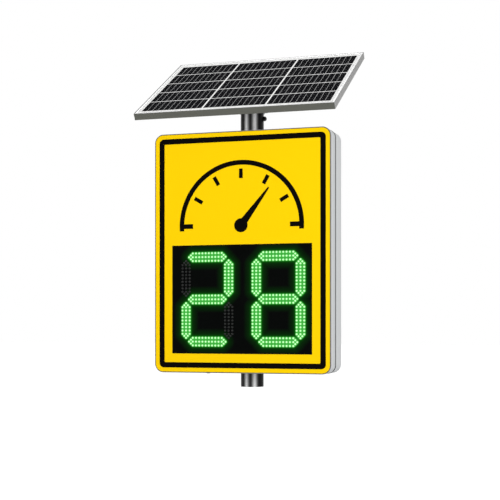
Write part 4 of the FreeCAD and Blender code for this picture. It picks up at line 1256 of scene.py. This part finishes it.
@dataclass
class LampDisplay:
    """The black mask with its lamps, and what is behind it.

    Attributes:
        lens_steps: the facets round a lens.
        lens_shape: radius and height of the lens as shares of its own, from rim to apex.
        cell: the size of the mask film's cells that carry the painted glow.
        core: the distance at which the painted glow round a lit lamp has faded to a third.
        halo: the distance at which the last of the painted glow ends.
        halo_share: the share of the wide halo in the painted glow.
        film: the thickness of the mask's front film.
        flange: how far the mask reaches behind the sheet round the window.
        sensor_edge: the rounding of the radar sensor.
    """

    lens_steps: int = 10
    lens_shape: tuple[tuple[float, float], ...] = ((1.0, 0.0), (1.0, 0.3), (0.78, 0.74), (0.42, 0.95), (0.0, 1.0))
    cell: float = 3 * MM
    core: float = 6.5 * MM
    halo: float = 30 * MM
    halo_share: float = 0.3
    film: float = 0.2 * MM
    flange: float = 11.3 * MM
    sensor_edge: float = 1.5 * MM

    def build(self) -> None:
        """Builds the display."""
        lit = self.lenses("lamps_tens_lit", LENS_LIT)
        lit += self.lenses("lamps_units_lit", LENS_LIT)
        self.lenses("lamps_tens_dark", LENS_DARK)
        dress("display_mask", FILM)
        self.mask_front(lit)
        fasteners("mask_screws", (Y_AXIS,), ZINC, BODY_HEAD)
        for name in ("tens_board", "units_board"):
            dress(name, CIRCUIT)
        dress("board_spacers", NYLON)
        softened("radar_sensor", SENSOR, BODY_HEAD, self.sensor_edge)
        dress("radar_bracket", SHEET_METAL)

    def lenses(self, name: str, finish: Finish) -> list[Vector]:
        """Replaces a node of lamps by domed lenses.

        Args:
            name: the CAD node.
            finish: what the lenses are made of.

        Returns:
            The centre of each lamp on the mask.
        """
        places = [(Vector(map(min, zip(*points))), Vector(map(max, zip(*points)))) for points in islands(name)]
        low, high = places[0]
        radius = (high.x - low.x) / 2
        height = high.y - low.y
        template = bmesh.new()
        glow = template.verts.layers.float.new("glow")
        profile = [(share * radius, up * height) for share, up in self.lens_shape]
        lathe(template, profile, self.lens_steps, frame_matrix(Vector(), -Y_AXIS, X_AXIS))
        for vert in template.verts:
            away = math.hypot(vert.co.x, vert.co.z) / radius
            vert[glow] = max(0.0, 1.0 - away)
        bmesh.ops.recalc_face_normals(template, faces=template.faces)
        mesh = bpy.data.meshes.new("lens_template")
        template.to_mesh(mesh)
        count = len(template.verts)
        template.free()
        bm = bmesh.new()
        centres = []
        for low, high in places:
            centre = Vector(((low.x + high.x) / 2, high.y, (low.z + high.z) / 2))
            bm.from_mesh(mesh)
            bm.verts.ensure_lookup_table()
            bmesh.ops.translate(bm, vec=centre, verts=bm.verts[-count:])
            centres.append(centre)
        bpy.data.meshes.remove(mesh)
        finish_piece(f"{name}_lenses", bm, finish, BODY_HEAD, (name,), smooth=60.0, solid=False)
        return centres

    def mask_front(self, lit: Sequence[Vector]) -> None:
        """Lays a film on the mask's front with a painted glow: it shines green round the lit lamps, standing in
        for their light on the mask.

        Args:
            lit: the centres of those lamps.
        """
        low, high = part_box("display_mask")
        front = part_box("lamps_tens_dark")[1].y
        left, right = low.x + self.flange, high.x - self.flange
        bottom, top = low.z + self.flange, high.z - self.flange
        tree = KDTree(len(lit))
        for index, centre in enumerate(lit):
            tree.insert(centre, index)
        tree.balance()
        bm = bmesh.new()
        across = round((right - left) / self.cell)
        up = round((top - bottom) / self.cell)
        middle = Vector(((left + right) / 2, front, (bottom + top) / 2))
        size = Matrix.Diagonal(((right - left) / 2, (top - bottom) / 2, 1, 1))
        place = frame_matrix(middle, -Y_AXIS, X_AXIS) @ size
        bmesh.ops.create_grid(bm, x_segments=across, y_segments=up, size=1.0, matrix=place)
        glow = bm.verts.layers.float.new("glow")
        for vert in bm.verts:
            distances = [found[2] for found in tree.find_range(vert.co, self.halo)]
            if not distances:
                continue
            near = min(1.0, sum(math.exp(-(distance / self.core) ** 2) for distance in distances))
            wide = 1.0 - min(distances) / self.halo
            vert[glow] = (1.0 - self.halo_share) * near + self.halo_share * wide
        bmesh.ops.recalc_face_normals(bm, faces=bm.faces)
        grown = bmesh.ops.extrude_face_region(bm, geom=bm.faces[:], use_keep_orig=True)["geom"]
        bmesh.ops.translate(bm, vec=(0, -self.film, 0),
                            verts=[item for item in grown if isinstance(item, BMVert)])
        finish_piece("display_mask_film_painted_glow", bm, MASK_PAINTED_GLOW, BODY_HEAD)


@dataclass
class Equipment:
    """What the housing carries inside, behind the display.

    Attributes:
        case_edge: the rounding of the battery and the controller.
    """

    case_edge: float = 3 * MM

    def build(self) -> None:
        """Dresses the equipment and rounds its cases."""
        for name in ("rail_upper", "rail_lower", "equipment_plate"):
            dress(name, SHEET_METAL)
        dress("plate_spacers", ZINC)
        softened("battery", BATTERY_CASE, BODY_HEAD, self.case_edge)
        dress("battery_strap", STAINLESS)
        softened("charge_controller", CONTROLLER_CASE, BODY_HEAD, self.case_edge)
        dress("control_board", CIRCUIT)
        dress("control_spacers", NYLON)


@dataclass
class MastClamps:
    """The two clamps between the housing and the mast.

    Attributes:
        casting_edge: the rounding of the cast saddles.
        band_edge: the rounding of the bands.
    """

    casting_edge: float = 1.6 * MM
    band_edge: float = 0.7 * MM

    def build(self) -> None:
        """Builds both clamps with their fasteners."""
        for end in ("lower", "upper"):
            softened(f"saddle_{end}", CASTING, BODY_HEAD, self.casting_edge, 3)
            softened(f"band_{end}", STAINLESS, BODY_HEAD, self.band_edge)
        fasteners("clamp_bolts", (Y_AXIS,), STAINLESS, BODY_HEAD)
        fasteners("saddle_bolts", (Y_AXIS,), STAINLESS, BODY_HEAD)
        dress("saddle_nuts", ZINC)


@dataclass
class Mast:
    """The round mast with the two set screws near its upper end.

    Attributes:
        end_edge: the rounding of the mast's ends.
    """

    end_edge: float = 0.6 * MM

    def build(self) -> None:
        """Builds the mast and its set screws."""
        softened("mast", MAST_PAINTED_HIGHLIGHTS, BODY_HEAD, self.end_edge)
        fasteners("set_screws", (X_AXIS, Y_AXIS), BLACK_STEEL, BODY_HEAD)


@dataclass
class TiltBracket:
    """The spigot and yoke on the mast, and the cradle and bars under the panel.

    Attributes:
        plate_edge: the rounding of the bracket's plates.
        bar_edge: the rounding of the cross bars.
    """

    plate_edge: float = 0.7 * MM
    bar_edge: float = 0.9 * MM

    def build(self) -> None:
        """Builds the bracket with its fasteners."""
        for name, body in (("spigot", BODY_YOKE), ("yoke", BODY_YOKE), ("cradle", BODY_PANEL)):
            softened(name, BRACKET, body, self.plate_edge)
        fasteners("yoke_screws", (Z_AXIS,), ZINC, BODY_YOKE)
        for name in ("pivot_bolt", "pivot_nut", "lock_bolts"):
            fasteners(name, (X_AXIS,), ZINC, BODY_PANEL)
        dress("lock_nuts", ZINC)
        for name in ("cross_bar_front", "cross_bar_rear"):
            softened(name, FRAME_METAL, BODY_PANEL, self.bar_edge)


@dataclass
class SolarPanel:
    """The framed solar panel with its junction box.

    Attributes:
        raise_by: how much nearer the glass lets the cells appear, by its refraction.
        block_gap: the least gap between two blocks of cells.
        row_digits: the decimals of a metre to which the strips of one row agree.
        foil_drop: how far the foils lie under the faces of the cells.
        foil_thickness: their thickness.
        foil_edge: their rounding.
        sheet_drop: how far the white sheet lies under the faces of the cells.
        dark_edge_far: the width of the dark grey strip on the lips of the rear and left rails.
        dark_edge_near: its width on the right rail's.
        rail_edge: the rounding of the frame rails.
        box_edge: the rounding of the junction box.
        lid_height: the height of the box's lid.
        lid_margin: how far the lid lies in from the box's edge.
        lid_edge: the rounding of the lid.
        screw_inset: the place of the lid's screws from its corners.
        screw_radius: the radius of their heads.
        screw_head: their height over the lid's step and over its face.
        screw_top: the radius of their flat top, as a share.
        screw_steps: the facets round them.
    """

    raise_by: float = 2.4 * MM
    block_gap: float = 3 * MM
    row_digits: int = 5
    foil_drop: float = 0.03 * MM
    foil_thickness: float = 0.2 * MM
    foil_edge: float = 0.02 * MM
    sheet_drop: float = 0.1 * MM
    dark_edge_far: float = 4 * MM
    dark_edge_near: float = 1.6 * MM
    rail_edge: float = 0.6 * MM
    box_edge: float = 2.5 * MM
    lid_height: float = 3 * MM
    lid_margin: float = 4 * MM
    lid_edge: float = 1.2 * MM
    screw_inset: float = 9 * MM
    screw_radius: float = 3 * MM
    screw_head: tuple[float, float] = (0.4 * MM, 0.8 * MM)
    screw_top: float = 0.7
    screw_steps: int = 16

    def build(self) -> None:
        """Builds the panel."""
        for side, outward, dark_edge in (("front", -PANEL_SLOPE, 0.0), ("rear", PANEL_SLOPE, self.dark_edge_far),
                                    ("left", -X_AXIS, self.dark_edge_far), ("right", X_AXIS, self.dark_edge_near)):
            self.rail(f"frame_{side}", outward, dark_edge)
        dress("panel_glass", GLASS)
        self.laminate()
        dress("back_sheet", BACK_SHEET)
        for name in ("panel_bolts", "panel_nuts"):
            fasteners(name, (PANEL_NORMAL,), ZINC, BODY_PANEL)
        self.junction_box()

    def laminate(self) -> None:
        """Builds the cells and the white sheet round them, as near as they appear through the glass."""
        cells = merged_copy("solar_cells")
        bmesh.ops.translate(cells, vec=PANEL_NORMAL * self.raise_by, verts=cells.verts)
        top = max(vert.co.dot(PANEL_NORMAL) for vert in cells.verts)
        finish_piece("solar_cells_under_glass", cells, SILICON, BODY_PANEL, ("solar_cells",),
                     smooth=30.0, solid=False)
        self.carriers(top - self.foil_drop)
        sheet = merged_copy("back_sheet")
        level = max(vert.co.dot(PANEL_NORMAL) for vert in sheet.verts)
        bmesh.ops.translate(sheet, vec=PANEL_NORMAL * (top - level - self.sheet_drop), verts=sheet.verts)
        finish_piece("white_sheet_under_glass", sheet, BACK_SHEET, BODY_PANEL, smooth=30.0,
                     solid=False)

    def carriers(self, top: float) -> None:
        """Lays a grey foil under each row of strips, which shows as the fine lines between them.

        Args:
            top: the height of the foils along the panel's normal.
        """
        spans = []
        for points in islands("solar_cells"):
            near, far = reach(points, PANEL_SLOPE)
            left, right = reach(points, X_AXIS)
            spans.append((round(near, self.row_digits), left, right, far))
        bm = bmesh.new()
        place = frame_matrix(Vector(), PANEL_NORMAL, X_AXIS)
        start = end = None
        for span in sorted(spans) + [(math.inf, 0.0, 0.0, 0.0)]:
            if start and (span[0] != start[0] or span[1] - end[2] > self.block_gap):
                block(bm, Vector((start[1], start[0], top - self.foil_thickness)), Vector((end[2], end[3], top)),
                      self.foil_edge, 1, place)
                start = None
            start = start or span
            end = span
        finish_piece("cell_carriers", bm, CARRIER, BODY_PANEL)

    def rail(self, name: str, outward: Vector, dark_edge: float) -> None:
        """Builds a frame rail whose faces carry their painted light and shade.

        Args:
            name: the CAD node.
            outward: the side that the rail looks to.
            dark_edge: the width of the dark grey strip along the outer edge of its lip.
        """
        bm = soft_copy(name, self.rail_edge, 1)
        limit = max(vert.co.dot(outward) for vert in bm.verts) - dark_edge
        if dark_edge:
            bmesh.ops.bisect_plane(bm, geom=bm.verts[:] + bm.edges[:] + bm.faces[:], dist=MERGE_DISTANCE,
                                   plane_co=outward * limit, plane_no=outward)
        bm.normal_update()
        centre = sum(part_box("panel_glass"), Vector()) / 2
        # Painted light and shade by facing: lips and faces that look toward the glass get the lit near white,
        # rounded faces and the outer strip dark grey, ends the side-lit grey, the rest the shaded front grey.
        painted_shade = bm.faces.layers.float.new("painted_shade")
        for face in bm.faces:
            middle = face.calc_center_median()
            on_lip = face.normal.dot(PANEL_NORMAL) > FACING
            square = max(abs(face.normal.dot(way)) for way in (X_AXIS, PANEL_SLOPE, PANEL_NORMAL)) >= FACING
            if dark_edge and on_lip and middle.dot(outward) > limit:
                face[painted_shade] = RailPaintedShade.DARK_EDGE.value
            elif on_lip or (middle - centre).dot(face.normal) < 0:
                face[painted_shade] = RailPaintedShade.LIP.value
            elif not square:
                face[painted_shade] = RailPaintedShade.DARK_EDGE.value
            elif abs(face.normal.x) > FACING:
                face[painted_shade] = RailPaintedShade.END.value
        finish_piece(f"{name}_rounded", bm, RAIL_METAL_PAINTED_SHADE, BODY_PANEL, (name,), COPY_SMOOTH,
                     solid=False)

    def junction_box(self) -> None:
        """Builds the junction box: a body and a lid with four screws."""
        points = [vert.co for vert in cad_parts["junction_box"].data.vertices]
        across, along, out = (reach(points, way) for way in (X_AXIS, PANEL_SLOPE, PANEL_NORMAL))
        half_width, half_slope, depth = (across[1] - across[0]) / 2, (along[1] - along[0]) / 2, out[1] - out[0]
        centre = X_AXIS * sum(across) / 2 + PANEL_SLOPE * sum(along) / 2 + PANEL_NORMAL * out[1]
        place = frame_matrix(centre, -PANEL_NORMAL, X_AXIS)
        step = depth - self.lid_height
        low_head, high_head = self.screw_head
        bm = bmesh.new()
        block(bm, Vector((-half_width, -half_slope, 0)), Vector((half_width, half_slope, step)), self.box_edge, 3,
              place)
        lid = Vector((half_width - self.lid_margin, half_slope - self.lid_margin, 0))
        block(bm, Vector((-lid.x, -lid.y, step - self.lid_height)), Vector((lid.x, lid.y, depth - high_head)),
              self.lid_edge, 2, place)
        profile = [(0, step), (self.screw_radius, step), (self.screw_radius, depth - low_head),
                   (self.screw_radius * self.screw_top, depth), (0, depth)]
        for side in (-1, 1):
            for end in (-1, 1):
                spot = (side * (lid.x - self.screw_inset), end * (lid.y - self.screw_inset), 0)
                lathe(bm, profile, self.screw_steps, place @ Matrix.Translation(spot))
        finish_piece("junction_box_moulded", bm, MOULDING, BODY_PANEL, ("junction_box",))


# The studio

@dataclass(frozen=True)
class Softbox:
    """A large soft light on a stand.

    Attributes:
        name: the light's name.
        azimuth: its direction from the sign, in degrees from straight ahead toward +X.
        elevation: its height above the sign, in degrees.
        distance: how far away it stands.
        width: its width.
        height: its height.
        radiance: how bright its face is, where 1 is white.
    """

    name: str
    azimuth: float
    elevation: float
    distance: float
    width: float
    height: float
    radiance: float

    def place(self, target: Vector) -> None:
        """Adds the light, turned to the object.

        Args:
            target: the point that it looks at.
        """
        turn = math.radians(self.azimuth)
        rise = math.radians(self.elevation)
        toward = Vector((math.sin(turn) * math.cos(rise), -math.cos(turn) * math.cos(rise), math.sin(rise)))
        lamp = bpy.data.lights.new(self.name, "AREA")
        lamp.shape = "RECTANGLE"
        lamp.size = self.width
        lamp.size_y = self.height
        lamp.energy = self.radiance * math.pi * self.width * self.height
        item = bpy.data.objects.new(self.name, lamp)
        item.location = target + toward * self.distance
        item.rotation_euler = (-toward).to_track_quat("-Z", "Y").to_euler()
        item.visible_camera = False
        bpy.context.scene.collection.objects.link(item)


@dataclass
class Studio:
    """The floor, the lights, the white surroundings and the camera.

    Attributes:
        floor_level: the floor's height: the mast goes on down to it, out of the picture.
        floor_size: the floor's side.
        floor_shade: the floor's own grey.
        surround_light: the strength of the surroundings as a light.
        camera_place: where the camera stands.
        camera_turn: how far it is turned to the left, in degrees.
        lens_shift: how far its lens is shifted up, as a share of the picture.
        focal_pixels: its focal length in pixels of a picture 500 wide.
        picture_width: that picture's width.
        sensor_width: the camera's sensor, in millimetres.
        light_target: the point that the lights look at.
        softboxes: the lights.
    """

    floor_level: float = -1.5
    floor_size: float = 160.0
    floor_shade: float = 0.42
    surround_light: float = 0.26
    camera_place: tuple[float, float, float] = (1.155209, -3.671262, 0.213353)
    camera_turn: float = 17.5788
    lens_shift: float = 0.143351
    focal_pixels: float = 1167.963
    picture_width: float = 500.0
    sensor_width: float = 36.0
    light_target: tuple[float, float, float] = (0.0, 0.0, 0.45)
    softboxes: tuple[Softbox, ...] = (
        Softbox("softbox_right", 43.0, 3.0, 3.6, 1.4, 1.6, 12.2),
        Softbox("softbox_left", -43.0, 3.0, 3.6, 1.4, 1.6, 7.3),
        Softbox("softbox_top", 0.0, 78.0, 3.0, 2.0, 2.0, 3.0),
    )

    def build(self) -> None:
        """Sets up the studio."""
        self.floor()
        self.surroundings()
        for light in self.softboxes:
            light.place(Vector(self.light_target))
        self.camera()
        bpy.context.scene.view_settings.view_transform = "Standard"

    def seen_directly(self, board: NodeBoard) -> NodeSocket:
        """Tells where a ray comes from the camera, a reflection or through glass.

        Args:
            board: the nodes to add to.

        Returns:
            A socket that gives 1 for such a ray and 0 for light that is scattered.
        """
        path = board.add("ShaderNodeLightPath")
        sharp = board.math("ADD", path.outputs["Is Camera Ray"], path.outputs["Is Glossy Ray"], clamp=True)
        return board.math("ADD", sharp, path.outputs["Is Transmission Ray"], clamp=True)

    def floor(self) -> None:
        """Lays the pale floor, which shows white where it is lit and keeps the object's shadow."""
        bm = bmesh.new()
        bmesh.ops.create_grid(bm, x_segments=1, y_segments=1, size=self.floor_size / 2,
                              matrix=Matrix.Translation((0, 0, self.floor_level)))
        mesh = bpy.data.meshes.new("studio_floor")
        bm.to_mesh(mesh)
        bm.free()
        board = SurfaceBoard("studio_floor_paint", "ShaderNodeBsdfDiffuse", {})
        given = {"Vector": board.place, "Color": (self.floor_shade,) * 3, "Amount": 0.01, "Scale": 0.5}
        board.shade("Color", board.add("ShaderNodeGroup", given, node_tree=MOTTLE).outputs["Color"])
        lift = board.add("ShaderNodeEmission", {"Color": (1.0, 1.0, 1.0), "Strength": self.seen_directly(board)})
        both = board.add("ShaderNodeAddShader", {0: board.shader.outputs[0], 1: lift.outputs[0]})
        board.feed(board.output.inputs["Surface"], both.outputs[0])
        mesh.materials.append(board.material)
        item = bpy.data.objects.new("studio_floor", mesh)
        bpy.context.scene.collection.objects.link(item)

    def surroundings(self) -> None:
        """Makes the surroundings white to the eye and in reflections, and a soft light for the rest."""
        world = bpy.data.worlds.new("studio_surroundings")
        world.use_nodes = True
        world.node_tree.nodes.clear()
        board = NodeBoard(world.node_tree)
        direct = self.seen_directly(board)
        gain = board.math("MULTIPLY", direct, 1.0 - self.surround_light)
        strength = board.math("ADD", gain, self.surround_light)
        back = board.add("ShaderNodeBackground", {"Color": (1.0, 1.0, 1.0), "Strength": strength})
        board.add("ShaderNodeOutputWorld", {"Surface": back.outputs[0]})
        bpy.context.scene.world = world

    def camera(self) -> None:
        """Places the camera of the photograph."""
        lens = bpy.data.cameras.new("photo_camera")
        lens.sensor_width = self.sensor_width
        lens.lens = self.focal_pixels * self.sensor_width / self.picture_width
        lens.shift_y = self.lens_shift
        item = bpy.data.objects.new("photo_camera", lens)
        item.location = self.camera_place
        item.rotation_euler = (math.radians(90), 0.0, math.radians(self.camera_turn))
        bpy.context.scene.collection.objects.link(item)
        bpy.context.scene.camera = item


def main() -> None:
    """Builds every sub-assembly in order."""
    logging.basicConfig(level=logging.INFO, format="%(name)s: %(message)s")
    parts = (SignHead(), WallFittings(), LampDisplay(), Equipment(), MastClamps(), Mast(), TiltBracket(),
             SolarPanel())
    for part in parts:
        LOG.info("building %s", type(part).__name__)
        part.build()
    Studio().build()


if __name__ == "__main__":
    main()
